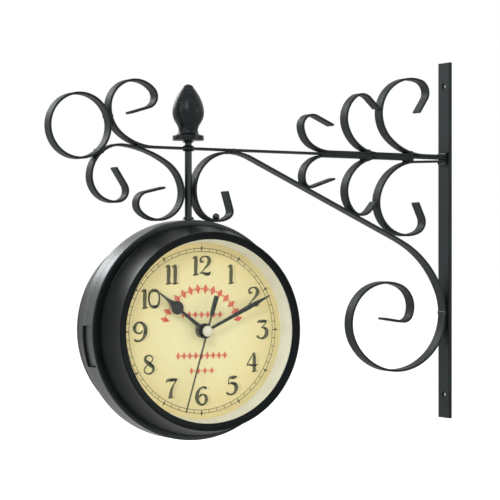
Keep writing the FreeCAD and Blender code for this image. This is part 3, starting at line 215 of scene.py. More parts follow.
def make_finishes(colours):
    """Every finish of the clock, by the name of the record's material slot."""
    return {
        # Sprayed satin enamel on mild steel: deep black, a slight orange peel and soft, cool highlights.
        "black_paint": mottled_finish(
            "satin_black_enamel", colours.paint, "#141818", 24.0, 1.1, 0.008, (0.3, 0.4),
            IOR=1.52, Specular_Tint=COOL_SHEEN),
        # Painted shade: the bezels take a darker, slightly rougher copy of the enamel that mirrors little of
        # the studio.
        "shaded_bezel_paint": mottled_finish(
            "flat_black_enamel", "#060808", "#0d1010", 24.0, 1.1, 0.008, (0.34, 0.46),
            IOR=1.22, Specular_Tint=COOL_SHEEN),
        # The same enamel on the sawn and bent strips: rougher, so it shows no sharp reflection.
        "strip_paint": mottled_finish(
            "sprayed_strip_enamel", colours.paint, "#151b1c", 30.0, 1.4, 0.01, (0.48, 0.6),
            IOR=1.32, Specular_Tint=COOL_SHEEN),
        # Sand-cast iron under the same paint: pitted by the sand, drawn 0.9 mm wide so that it shows.
        "cast_black": mottled_finish(
            "painted_cast_iron", "#0a0c0c", "#181c1c", 6.0, 0.9, 0.1, (0.2, 0.38),
            IOR=1.3, Specular_Tint=COOL_SHEEN),
        # Black-oxided machine screw and nuts: smoother than the paint round them.
        "black_screw": mottled_finish(
            "black_oxide_steel", "#0d0f0f", "#1a1c1c", 4.0, 0.6, 0.01, (0.25, 0.35)),
        "glass": clear_glass_finish(),
        "dial_print": printed_dial_finish(colours),
        # Moulded ivory styrene: even, with a slight silk from the mould.
        "ivory": mottled_finish(
            "moulded_ivory_styrene", "#dedece", "#e8e8da", 14.0, 0.8, 0.01, (0.38, 0.5)),
        # Moulded ABS, spark-eroded texture: dull black.
        "movement_black": mottled_finish(
            "textured_black_abs", "#141516", "#202122", 9.0, 0.7, 0.04, (0.5, 0.65)),
        # Natural acetal wheels: milky white, waxy.
        "white_gear": mottled_finish(
            "natural_acetal", "#dcdcd4", "#ecece6", 5.0, 0.5, 0.01, (0.35, 0.45)),
        # Polyester sleeve shrunk on the cell: plain, dark and glossy.
        "battery_wrap": mottled_finish(
            "plain_cell_sleeve", "#1c1f22", "#2c3034", 8.0, 1.0, 0.01, (0.22, 0.3)),
        "copper_wire": wound_copper_finish(),
        # Annealed soft iron stampings: grey, brushed along their length.
        "iron_core": mottled_finish(
            "annealed_soft_iron", "#777a7c", "#9a9da0", 3.0, 0.4, 0.01, (0.35, 0.5),
            (1, 6, 6), Metallic=1.0),
        # Stoved paint on brass blanks: dark grey-green, satin.
        "hand_paint": mottled_finish(
            "grey_green_stoved_paint", colours.hands, "#353b39", 5.0, 0.7, 0.008, (0.3, 0.42),
            Specular_IOR_Level=0.25),
        # Lacquered pale metal button: warm ivory with a soft shine.
        "pale_cap": mottled_finish(
            "lacquered_pale_button", "#d9d4bd", "#e8e3cd", 2.5, 0.5, 0.008, (0.25, 0.36)),
        # Bright zinc plate: pale grey, dulled unevenly by tumbling.
        "zinc": mottled_finish(
            "bright_zinc_plate", "#9ea2a4", "#c3c6c8", 2.0, 0.3, 0.008, (0.3, 0.42), Metallic=1.0),
        # Screen-printed ink: grey-green figures, slightly uneven where the ink lies thin.
        "figure_ink": mottled_finish(
            "grey_green_screen_ink", colours.figures, "#3c4238", 3.5, 0.6, 0.004, (0.5, 0.6),
            Specular_IOR_Level=0.2),
        # The same print in brick red for the ornament.
        "ornament_ink": mottled_finish(
            "brick_red_screen_ink", colours.ornament, "#e0705f", 3.0, 0.6, 0.004, (0.5, 0.6),
            Specular_IOR_Level=0.2),
    }


finishes = {}


def finish(slot):
    """The finish of a slot, made on first use."""
    if not finishes:
        finishes.update(make_finishes(bpy.context.scene.clock_colours))
    return finishes[slot]


# ------------------------------------------------------------------------------------ mesh helpers
def facing(side):
    """From dial millimetres (right, up, out towards the reader) to the clock's place in metres."""
    if side == "front":
        axes = Matrix(((1, 0, 0), (0, 0, -1), (0, 1, 0)))
    else:
        axes = Matrix(((-1, 0, 0), (0, 0, 1), (0, 1, 0)))
    return Matrix.Translation(CLOCK_CENTRE) @ axes.to_4x4() @ Matrix.Scale(0.001, 4)


def add_piece(name, mesh, body, slot, nodes=(), ink=None):
    """Link a finished mesh as a piece that rides on a body and stands for its CAD nodes."""
    piece = bpy.data.objects.new(name, mesh)
    bpy.context.scene.collection.objects.link(piece)
    mesh.materials.clear()
    mesh.materials.append(finish(ink or slot))
    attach(piece, body)
    if nodes:
        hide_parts(*nodes)
    return piece


def mesh_from(bm, name, matrix=None):
    """Close and orient a bmesh, place it and make it a mesh with smooth shading below the crease angle.

    A matrix is given for a mesh that was drawn in millimetres.
    """
    bmesh.ops.remove_doubles(bm, verts=bm.verts, dist=SAME_MM if matrix else SAME_M)
    bmesh.ops.recalc_face_normals(bm, faces=bm.faces)
    if matrix:
        bm.transform(matrix)
    mesh = bpy.data.meshes.new(name)
    bm.to_mesh(mesh)
    bm.free()
    mesh.shade_smooth()
    mesh.set_sharp_from_angle(angle=CREASE)
    return mesh


def add_dial_piece(side, name, bm, body, slot, nodes=(), ink=None):
    """Add a piece that was drawn in dial millimetres, on one side of the clock."""
    name = side + "_" + name
    return add_piece(name, mesh_from(bm, name, facing(side)), body, slot, nodes, ink)


def soften(piece, width_mm, angle_deg=40.0, segments=2):
    """Round a piece's edges as paint or a file leaves them, and keep its flats flat."""
    edge = piece.modifiers.new("rounded edges", "BEVEL")
    edge.width = width_mm * 0.001
    edge.segments = segments
    edge.limit_method = "ANGLE"
    edge.angle_limit = math.radians(angle_deg)
    edge.use_clamp_overlap = True
    flats = piece.modifiers.new("flat faces", "WEIGHTED_NORMAL")
    flats.keep_sharp = True


def solid_copy(node):
    """A CAD node's mesh, its loose triangles merged and its flat faces made whole again."""
    bm = bmesh.new()
    bm.from_mesh(frame["nodes"][node].data)
    bmesh.ops.remove_doubles(bm, verts=bm.verts, dist=2e-6)
    bmesh.ops.dissolve_limit(bm, angle_limit=math.radians(0.25), verts=bm.verts, edges=bm.edges)
    return bm


def dressed_copy(node, body, slot, edge_mm, segments=2, ink=None):
    """The node's own shape with its edges rounded."""
    name = node + "_dressed"
    piece = add_piece(name, mesh_from(solid_copy(node), name), body, slot, (node,), ink)
    soften(piece, edge_mm, segments=segments)


def rounded(corners, steps=4):
    """A closed outline of (radius, height, rounding) corners as plain points."""
    points = []
    count = len(corners)
    for index, (x, y, radius) in enumerate(corners):
        here = Vector((x, y))
        if not radius:
            points.append(here)
            continue
        before = Vector(corners[index - 1][:2]) - here
        after = Vector(corners[(index + 1) % count][:2]) - here
        reach = min(radius, before.length * 0.49, after.length * 0.49)
        first = here + before.normalized() * reach
        last = here + after.normalized() * reach
        for step in range(steps + 1):
            t = step / steps
            points.append(first * (1 - t) ** 2 + here * (2 * t * (1 - t)) + last * t ** 2)
    return [tuple(point) for point in points]


def turned(outline, segments):
    """Turn a closed (radius, height) outline about the third axis; points on the axis close into poles."""
    bm = bmesh.new()
    rings = []
    for step in range(segments):
        angle = 2.0 * math.pi * step / segments
        rings.append([bm.verts.new((r * math.cos(angle), r * math.sin(angle), h)) for r, h in outline])
    for step in range(segments):
        ring, following = rings[step], rings[(step + 1) % segments]
        for k in range(len(outline)):
            j = (k + 1) % len(outline)
            if outline[k][0] < 1e-6 and outline[j][0] < 1e-6:
                continue
            bm.faces.new((ring[k], following[k], following[j], ring[j]))
    bmesh.ops.remove_doubles(bm, verts=bm.verts, dist=SAME_MM)
    return bm


def cut_out(outline, low, high):
    """A prism from a closed outline in the dial's plane, between two heights."""
    bm = bmesh.new()
    lower = [bm.verts.new((x, y, low)) for x, y in outline]
    upper = [bm.verts.new((x, y, high)) for x, y in outline]
    bm.faces.new(lower)
    bm.faces.new(upper)
    for k in range(len(outline)):
        j = (k + 1) % len(outline)
        bm.faces.new((lower[k], lower[j], upper[j], upper[k]))
    return bm


def clockwise(points, degrees):
    """Turn points clockwise round the hands' axis."""
    c, s = math.cos(math.radians(degrees)), math.sin(math.radians(degrees))
    return [(x * c + y * s, y * c - x * s) for x, y in points]


def curve_through(points, steps=5):
    """A smooth line through points of any dimension (Catmull-Rom)."""
    vectors = [Vector(point) for point in points]
    line = []
    for index in range(len(vectors) - 1):
        p0 = vectors[max(index - 1, 0)]
        p1, p2 = vectors[index], vectors[index + 1]
        p3 = vectors[min(index + 2, len(vectors) - 1)]
        for step in range(steps):
            t = step / steps
            line.append(0.5 * (2 * p1 + (p2 - p0) * t + (2 * p0 - 5 * p1 + 4 * p2 - p3) * t ** 2
                               + (3 * p1 - p0 - 3 * p2 + p3) * t ** 3))
    return line + [vectors[-1]]


# ------------------------------------------------------------------------------------ dial figures
# Pen strokes of each figure as (right, up, width) in millimetres, round the figure's middle.
STROKES = {
    "0": [[(0.0, 7.0, 2.3), (3.4, 5.4, 1.7), (4.8, 0.3, 1.3), (3.5, -5.3, 1.8), (0.0, -7.0, 2.3),
           (-3.4, -5.4, 1.7), (-4.8, -0.3, 1.3), (-3.5, 5.3, 1.8), (0.0, 7.0, 2.3)]],
    "1": [[(0.0, 7.9, 1.5), (0.1, 5.0, 2.5), (0.0, 0.0, 2.7), (-0.1, -5.5, 2.5), (0.0, -7.6, 2.2)],
          [(-2.8, 5.4, 0.4), (-1.5, 6.6, 1.5), (0.2, 7.9, 0.7)],
          [(-2.7, -8.0, 0.5), (-0.4, -7.7, 1.5), (2.9, -7.1, 0.4)]],
    "2": [[(-1.7, 3.9, 0.9), (-2.9, 2.9, 1.8), (-4.3, 4.2, 1.5), (-3.0, 6.7, 1.3), (0.2, 7.6, 0.9),
           (3.0, 6.3, 2.1), (3.8, 3.6, 2.8), (2.2, 0.2, 1.9), (-1.2, -3.4, 1.0), (-4.6, -6.7, 0.6)],
          [(-4.8, -6.6, 0.5), (-2.6, -6.3, 1.4), (0.4, -7.2, 2.2), (3.2, -7.1, 2.2), (5.0, -5.2, 0.6)]],
    "3": [[(-4.2, 5.6, 0.6), (-3.6, 6.8, 1.7), (-0.6, 7.1, 2.1), (4.0, 7.2, 1.5)],
          [(4.0, 6.9, 0.8), (1.8, 4.0, 0.8), (-0.9, 1.4, 0.8)],
          [(-0.9, 1.5, 0.7), (1.8, 1.5, 1.6), (3.9, -0.6, 2.6), (3.8, -4.2, 2.8), (1.0, -7.0, 1.7),
           (-2.2, -7.2, 1.1), (-4.3, -5.8, 1.9), (-4.6, -4.6, 0.9)]],
    "4": [[(1.9, 8.1, 1.1), (-1.4, 3.6, 0.9), (-4.9, -2.1, 0.8)],
          [(-5.3, -2.7, 0.6), (-2.6, -2.1, 1.3), (1.2, -3.0, 1.3), (5.2, -2.1, 0.6)],
          [(1.9, 8.0, 1.2), (2.0, 4.0, 2.3), (2.0, -2.0, 2.6), (1.9, -7.5, 2.3)],
          [(-0.6, -8.0, 0.4), (1.7, -7.7, 1.4), (4.3, -7.2, 0.4)]],
    "5": [[(-2.7, 6.8, 0.9), (-0.2, 6.9, 2.2), (2.4, 7.2, 2.2), (4.6, 7.9, 0.8)],
          [(-2.5, 7.0, 0.8), (-3.0, 4.0, 0.8), (-3.3, 1.3, 0.8)],
          [(-3.3, 1.3, 0.7), (-0.6, 2.3, 1.5), (2.9, 1.2, 2.7), (4.1, -2.0, 2.8), (2.4, -5.9, 1.8),
           (-1.2, -7.4, 1.1), (-4.1, -6.3, 1.8), (-4.7, -5.0, 0.8)]],
    "6": [[(4.6, 5.8, 0.7), (3.4, 6.8, 1.8), (1.0, 7.3, 1.2), (-2.2, 5.4, 1.8), (-4.2, 1.2, 2.7),
           (-4.0, -3.6, 2.7), (-1.2, -7.0, 1.6), (2.0, -6.9, 1.4), (4.2, -4.0, 2.5), (3.9, -0.6, 2.1),
           (1.4, 1.3, 1.1), (-1.2, 0.4, 1.3), (-2.2, -1.4, 0.6)]],
    "7": [[(-4.8, 4.2, 0.5), (-4.6, 6.2, 1.3), (-2.0, 6.8, 2.2), (1.6, 6.9, 2.2), (4.8, 7.4, 1.0)],
          [(4.6, 7.2, 0.7), (2.0, 3.4, 1.1), (-0.4, -1.6, 2.0), (-1.3, -7.2, 2.7)],
          [(-3.8, -8.0, 0.4), (-1.4, -7.7, 1.4), (1.4, -7.2, 0.4)]],
    "8": [[(3.1, 6.2, 0.9), (0.2, 7.7, 1.1), (-3.0, 6.2, 1.7), (-3.1, 3.4, 2.3), (-0.2, 0.8, 2.7),
           (3.2, -1.8, 2.5), (3.9, -4.9, 1.8), (0.4, -7.7, 1.1), (-3.4, -6.4, 1.0), (-4.1, -3.6, 1.0),
           (-1.8, -0.7, 0.9), (1.3, 1.6, 0.9), (3.4, 4.0, 0.9), (3.1, 6.2, 0.9)]],
}
# The nine is the six upside down, drawn a little larger.
STROKES["9"] = [[(-1.14 * x, -1.06 * y, width) for x, y, width in stroke] for stroke in STROKES["6"]]
# Where the two figures of an hour stand, right of its middle.
FIGURE_SHIFTS = {"10": (-5.6, 2.9), "11": (-3.0, 3.0), "12": (-5.4, 3.2)}
# The side figures stand a little off the circle, in millimetres right and up.
HOUR_PLACES = {"2": (1.2, 1.0), "3": (2.2, 0.0), "5": (0.8, 0.5), "8": (-0.8, 0.0), "9": (-1.6, 0.0),
               "10": (1.0, 0.0)}
# The strokes are printed this much bolder than drawn, and never thinner than the least width.
STROKE_WEIGHT, LEAST_STROKE = 1.22, 0.3


def pen_stroke(points, right, up):
    """The outline of one pen stroke, widening and narrowing along its line."""
    line = curve_through(points)
    left_edge, right_edge = [], []
    for index, point in enumerate(line):
        ahead = line[min(index + 1, len(line) - 1)].xy - line[max(index - 1, 0)].xy
        across = Vector((-ahead.y, ahead.x)).normalized()
        across *= max(point.z, LEAST_STROKE) * STROKE_WEIGHT / 2.0
        left_edge.append((point.x + across.x + right, point.y + across.y + up))
        right_edge.append((point.x - across.x + right, point.y - across.y + up))
    return left_edge, right_edge


def ribbons(strokes):
    """Flat ribbons of ink, each a closed strip of quads."""
    bm = bmesh.new()
    low = INK_FOOT
    for number, (left_edge, right_edge) in enumerate(strokes):
        # Strokes that cross end at slightly different heights, so that their faces don't flicker.
        top = INK_TOP + (number % 5) * 0.004
        rows = []
        for (lx, ly), (rx, ry) in zip(left_edge, right_edge):
            corners = ((lx, ly, low), (rx, ry, low), (rx, ry, top), (lx, ly, top))
            rows.append([bm.verts.new(corner) for corner in corners])
        bm.faces.new(rows[0])
        bm.faces.new(rows[-1])
        for row, following in zip(rows, rows[1:]):
            for k in range(4):
                j = (k + 1) % 4
                bm.faces.new((row[k], row[j], following[j], following[k]))
    return bm


def marks_tree(mark, arc):
    """Geometry Nodes: copies of one flat mark along an arc round the dial, or along a straight row."""
    tree = bpy.data.node_groups.new("marks_on_arc" if arc else "marks_in_row", "GeometryNodeTree")
    sockets = {}
    for name in ("Count", "Radius", "Start", "Step", "Width", "Length", "Thickness", "Base"):
        kind = "NodeSocketInt" if name == "Count" else "NodeSocketFloat"
        sockets[name] = tree.interface.new_socket(name=name, in_out="INPUT", socket_type=kind).identifier
    sockets["Ink"] = tree.interface.new_socket(
        name="Ink", in_out="INPUT", socket_type="NodeSocketMaterial").identifier
    tree.interface.new_socket(name="Marks", in_out="OUTPUT", socket_type="NodeSocketGeometry")
    given = add_node(tree, "NodeGroupInput").outputs
    index = add_node(tree, "GeometryNodeInputIndex").outputs[0]
    along = add_node(tree, "ShaderNodeMath", {0: index, 1: given["Step"], 2: given["Start"]},
                     operation="MULTIPLY_ADD").outputs[0]
    if arc:
        sine = add_node(tree, "ShaderNodeMath", {0: along}, operation="SINE").outputs[0]
        cosine = add_node(tree, "ShaderNodeMath", {0: along}, operation="COSINE").outputs[0]
        right, up, turn = (
            add_node(tree, "ShaderNodeMath", {0: value, 1: factor}, operation="MULTIPLY").outputs[0]
            for value, factor in ((sine, given["Radius"]), (cosine, given["Radius"]), (along, -1.0)))
    else:
        right, up, turn = along, given["Radius"], 0.0
    spot = add_node(tree, "ShaderNodeCombineXYZ", {0: right, 1: up, 2: given["Base"]}).outputs[0]
    points = add_node(tree, "GeometryNodePoints", {"Count": given["Count"], "Position": spot}).outputs[0]
    size = add_node(tree, "ShaderNodeCombineXYZ",
                    {0: given["Width"], 1: given["Length"], 2: given["Thickness"]}).outputs[0]
    if mark == "bar":
        shape = add_node(tree, "GeometryNodeMeshCube", {"Size": (1.0, 1.0, 1.0)}).outputs[0]
    else:
        shape = add_node(tree, "GeometryNodeMeshCylinder", {
            "Vertices": 4 if mark == "lozenge" else 16, "Radius": 0.5, "Depth": 1.0}).outputs[0]
    angle = add_node(tree, "ShaderNodeCombineXYZ", {2: turn}).outputs[0]
    copies = add_node(tree, "GeometryNodeInstanceOnPoints", {
        "Points": points, "Instance": shape, "Rotation": angle, "Scale": size}).outputs[0]
    solid = add_node(tree, "GeometryNodeRealizeInstances", {0: copies}).outputs[0]
    inked = add_node(tree, "GeometryNodeSetMaterial", {"Geometry": solid, "Material": given["Ink"]})
    add_node(tree, "NodeGroupOutput", {0: inked.outputs[0]})
    return tree, sockets


def repeated_marks(mark, arc, ink, base=MARK_LEVEL, **values):
    """Run the marks tree once and return its result as a plain bmesh."""
    tree, sockets = marks_tree(mark, arc)
    carrier = bpy.data.objects.new("marks", bpy.data.meshes.new("marks"))
    bpy.context.scene.collection.objects.link(carrier)
    modifier = carrier.modifiers.new("marks", "NODES")
    modifier.node_group = tree
    modifier[sockets["Ink"]] = finish(ink)
    for name, value in {"Base": base, "Thickness": MARK_THICKNESS, **values}.items():
        modifier[sockets[name]] = value
    carrier.update_tag()
    evaluated = carrier.evaluated_get(bpy.context.evaluated_depsgraph_get())
    mesh = bpy.data.meshes.new_from_object(evaluated)
    carrier.modifiers.remove(modifier)
    bpy.data.objects.remove(carrier)
    bm = bmesh.new()
    bm.from_mesh(mesh)
    bpy.data.meshes.remove(mesh)
    return bm


def joined(parts):
    """Several bmeshes as one."""
    whole = bmesh.new()
    for part in parts:
        mesh = bpy.data.meshes.new("part")
        part.to_mesh(mesh)
        part.free()
        whole.from_mesh(mesh)
        bpy.data.meshes.remove(mesh)
    return whole


# ------------------------------------------------------------------------------------ settings
class ClockSizes(bpy.types.PropertyGroup):
    strip_edge: bpy.props.FloatProperty(
        name="Strip edge", description="Rounding of the bent strips' edges",
        default=0.00045, min=0.0, unit="LENGTH")
    case_edge: bpy.props.FloatProperty(
        name="Case edge", description="Rounding of the pressed case's edges",
        default=0.0004, min=0.0, unit="LENGTH")
    hand_edge: bpy.props.FloatProperty(
        name="Hand edge", description="Rounding of the hands' edges",
        default=0.0001, min=0.0, unit="LENGTH")
    turned_steps: bpy.props.IntProperty(
        name="Turned steps", description="Facets round a turned ring", default=192, min=24, max=512)
    figure_ring: bpy.props.FloatProperty(
        name="Figure ring", description="Radius of the circle that the hours stand on",
        default=0.0545, unit="LENGTH")
    track_outer: bpy.props.FloatProperty(
        name="Track outer line", description="Radius of the minute track's outer line",
        default=0.0688, unit="LENGTH")
    track_width: bpy.props.FloatProperty(
        name="Track width", description="Distance between the minute track's lines",
        default=0.0027, unit="LENGTH")


class ClockColours(bpy.types.PropertyGroup):
    paint: bpy.props.StringProperty(
        name="Paint", description="Black enamel, sRGB hex", default="#0b0e0e")
    dial_centre: bpy.props.StringProperty(
        name="Dial centre", description="Cream by the hands, sRGB hex", default="#f4ecb8")
    dial_rim: bpy.props.StringProperty(
        name="Dial rim", description="Cream at the rim, sRGB hex", default="#ead89c")
    hands: bpy.props.StringProperty(
        name="Hands", description="Paint of the hands, sRGB hex", default="#282d2b")
    figures: bpy.props.StringProperty(
        name="Figures", description="Ink of the hours, sRGB hex", default="#242821")
    ornament: bpy.props.StringProperty(
        name="Ornament", description="Ink of the ornament, sRGB hex", default="#d65a4a")


# ------------------------------------------------------------------------------------ operators
class CLOCK_OT_scrollwork(bpy.types.Operator):
    """Bent flat-iron strips, the ring between them and the welds that join them"""
    bl_idname = "clock.scrollwork"
    bl_label = "Scrollwork"

    def execute(self, context):
        edge = context.scene.clock_sizes.strip_edge * 1000.0
        for node in BRACKET_STRIPS:
            dressed_copy(node, "bracket", "black_paint", edge, 3, "strip_paint")
        self.weld_runs()
        return {"FINISHED"}

    def bead_corners(self, source):
        """The corners of each separate solid among the weld beads."""
        waiting = set(source.verts)
        beads = []
        while waiting:
            start = min(waiting, key=lambda vertex: vertex.index)
            island, edge = {start}, [start]
            while edge:
                vertex = edge.pop()
                for link in vertex.link_edges:
                    other = link.other_vert(vertex)
                    if other not in island:
                        island.add(other)
                        edge.append(other)
            waiting -= island
            beads.append([vertex.co.copy() for vertex in island])
        return beads

    def weld_runs(self):
        """Lumpy runs of weld metal, one where each of the beads' solids stands."""
        source = solid_copy("weld_beads")
        whole = bmesh.new()
        for number, corners in enumerate(self.bead_corners(source)):
            low = Vector(map(min, *corners))
            high = Vector(map(max, *corners))
            middle, size = (low + high) / 2.0, high - low
            lump = bmesh.ops.create_icosphere(whole, subdivisions=4, radius=0.5)["verts"]
            across_strips = size.y > size.x * 1.5
            for vertex in lump:
                unit = vertex.co * 2.0
                lumpy = 1.0 + 0.2 * noise.noise(unit * 1.7 + Vector((number * 3.1, 0, 0)))
                if across_strips:
                    # A slim run with a blunt lump over the strips' edge at each end.
                    along = math.copysign(abs(unit.y) ** 0.25, unit.y)
                    swell = lumpy * (0.84 * (0.46 + 0.54 * along ** 6))
                else:
                    # A ring round the rod, simply rounded.
                    along = unit.y
                    swell = lumpy * 0.58
                vertex.co = middle + Vector((unit.x * size.x * swell, along * size.y * 0.5,
                                             unit.z * size.z * swell))
        source.free()
        add_piece("weld_runs", mesh_from(whole, "weld_runs"), "bracket", "black_paint", ("weld_beads",),
                  "cast_black")


class CLOCK_OT_wall_fixing(bpy.types.Operator):
    """Drilled wall plate"""
    bl_idname = "clock.wall_fixing"
    bl_label = "Wall plate"

    def execute(self, context):
        edge = context.scene.clock_sizes.strip_edge * 1000.0
        dressed_copy("wall_plate", "bracket", "black_paint", edge, 2, "strip_paint")
        return {"FINISHED"}


class CLOCK_OT_hanger(bpy.types.Operator):
    """Hanging rod with its nut, collar and washer, the lock screw and the acorn finial"""
    bl_idname = "clock.hanger"
    bl_label = "Hanger and finial"

    def execute(self, context):
        edge = context.scene.clock_sizes.strip_edge * 1000.0
        for node, slot in (("hanger_rod", "black_paint"), ("hanger_nut", "black_paint"),
                           ("rod_collar", "black_paint"), ("hanger_washer", "zinc"),
                           ("lock_screw", "black_screw")):
            dressed_copy(node, "bracket", slot, edge)
        self.finial()
        return {"FINISHED"}

    def finial(self):
        """The acorn, turned smooth and then roughened as a sand casting is."""
        low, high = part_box("finial")
        height = (high.z - low.z) * 1000.0
        flange = (high.x - low.x) * 500.0
        # From the flange's top over the waist and the belly to the tip, as (radius, height).
        side = curve_through([(12.6, 4.5), (9.5, 5.7), (8.4, 8.2), (8.5, 10.2), (9.3, 12.6), (11.1, 15.6),
                              (12.7, 18.9), (13.6, 24.4), (12.4, 31.0), (10.0, 37.0), (7.3, 41.4),
                              (4.9, 44.8), (3.7, 46.6)], 6)
        widest = max(point.x for point in side)
        foot = rounded([(flange - 0.2, 0.0, 0.8), (flange - 0.2, 4.5, 1.1), (12.0, 4.6, 0.0)])
        profile = [(0.0, 0.0)] + foot[:-1]
        profile += [(point.x * min(1.0, flange / widest), min(point.y, height)) for point in side]
        profile += [(1.4, height - 0.05), (0.0, height)]
        acorn = turned(profile, 128)
        for vertex in acorn.verts:
            if vertex.co.z > 0.2:
                pits = noise.noise(vertex.co * 0.45) * 0.16 + noise.noise(vertex.co * 1.3) * 0.05
                outward = Vector((vertex.co.x, vertex.co.y, 0.0)).normalized()
                vertex.co += outward * (pits - 0.15) * min(1.0, vertex.co.xy.length)
        centre = Vector(((low.x + high.x) / 2.0, 0.0, low.z))
        place = Matrix.Translation(centre) @ Matrix.Scale(0.001, 4)
        mesh = mesh_from(acorn, "acorn_finial", place)
        add_piece("acorn_finial", mesh, "bracket", "cast_black", ("finial",))


class CLOCK_OT_case(bpy.types.Operator):
    """Drum, hatch and, on each side, the bezel, the lens and the pale ring inside it"""
    bl_idname = "clock.case"
    bl_label = "Case"

    def execute(self, context):
        sizes = context.scene.clock_sizes
        edge = sizes.case_edge * 1000.0
        for side in SIDES:
            dressed_copy(side + "_drum_shell", "case", "black_paint", edge)
        dressed_copy("drum_joining_band", "case", "black_paint", edge)
        dressed_copy("hatch_cover", "hatch", "black_paint", edge)
        for side in SIDES:
            self.bezel(side, sizes.turned_steps)
            self.lens(side, sizes.turned_steps)
            self.inner_ring(side, sizes.turned_steps)
        return {"FINISHED"}

    def bezel(self, side, steps):
        """Turned ring: rolled bead behind, hollow side, rounded nose and a step down to the glass."""
        rim, mouth = BEZEL_RADIUS, 84.2
        front = rim - 6.0
        back, nose = BEZEL_BACK, BEZEL_FRONT
        hollow = curve_through([(rim - 0.95, back + 1.9), (rim - 2.2, back + 5.0), (rim - 3.5, back + 9.0),
                                (rim - 4.6, back + 13.4), (front + 0.5, back + 18.5),
                                (front + 0.1, nose - 3.4), (front, nose - 1.8)], 4)
        outline = rounded([(mouth, back, 0.0), (rim, back, 0.6), (rim, back + 1.3, 0.6)], 5)
        outline += [tuple(point) for point in hollow]
        outline += rounded([(front, nose - 1.4, 0.0), (front - 0.1, nose, 1.0), (front - 2.0, nose, 1.0),
                            (front - 2.3, nose - 1.3, 0.4), (front - 6.0, nose - 1.9, 0.4),
                            (front - 6.4, nose - 2.2, 0.25), (front - 6.4, LENS_FRONT, 0.0),
                            (LENS_RADIUS + 0.1, LENS_FRONT, 0.0), (LENS_RADIUS + 0.1, LENS_BACK, 0.0),
                            (front - 1.4, LENS_BACK, 0.0), (front + 0.3, (back + nose) / 2.0, 0.0),
                            (rim - 1.9, back + 1.2, 0.0), (mouth, back + 1.2, 0.0)], 4)
        # The bezel wears the darker copy of the enamel, painted shade for its hollow side.
        add_dial_piece(side, "turned_bezel", turned(outline, steps), "case", "black_paint",
                       (side + "_bezel",), "shaded_bezel_paint")

    def lens(self, side, steps):
        """Flat glass with eased edges. It casts no shadow, as clear glass over a dial hardly does."""
        edge = rounded([(LENS_RADIUS, LENS_BACK, 0.3), (LENS_RADIUS, LENS_FRONT, 0.3)], 3)
        outline = [(0.0, LENS_BACK)] + edge + [(0.0, LENS_FRONT)]
        pane = add_dial_piece(side, "clear_lens", turned(outline, steps), "case", "glass",
                              (side + "_lens",))
        pane.visible_shadow = False

    def inner_ring(self, side, steps):
        """The pale ring that slopes from the dial out to the glass, with a small foot on the dial."""
        low, high = DIAL_FACE, LENS_BACK - 0.1
        outline = rounded([(73.8, low, 0.0), (79.8, low, 0.0), (79.8, low + 0.9, 0.0),
                           (74.9, low + 0.9, 0.0), (77.6, high, 0.2), (76.8, high, 0.2),
                           (74.3, low + 1.1, 0.2), (73.8, low + 0.8, 0.3)], 3)
        add_dial_piece(side, "inner_ring", turned(outline, steps), "case", "ivory", (side + "_rehaut",))


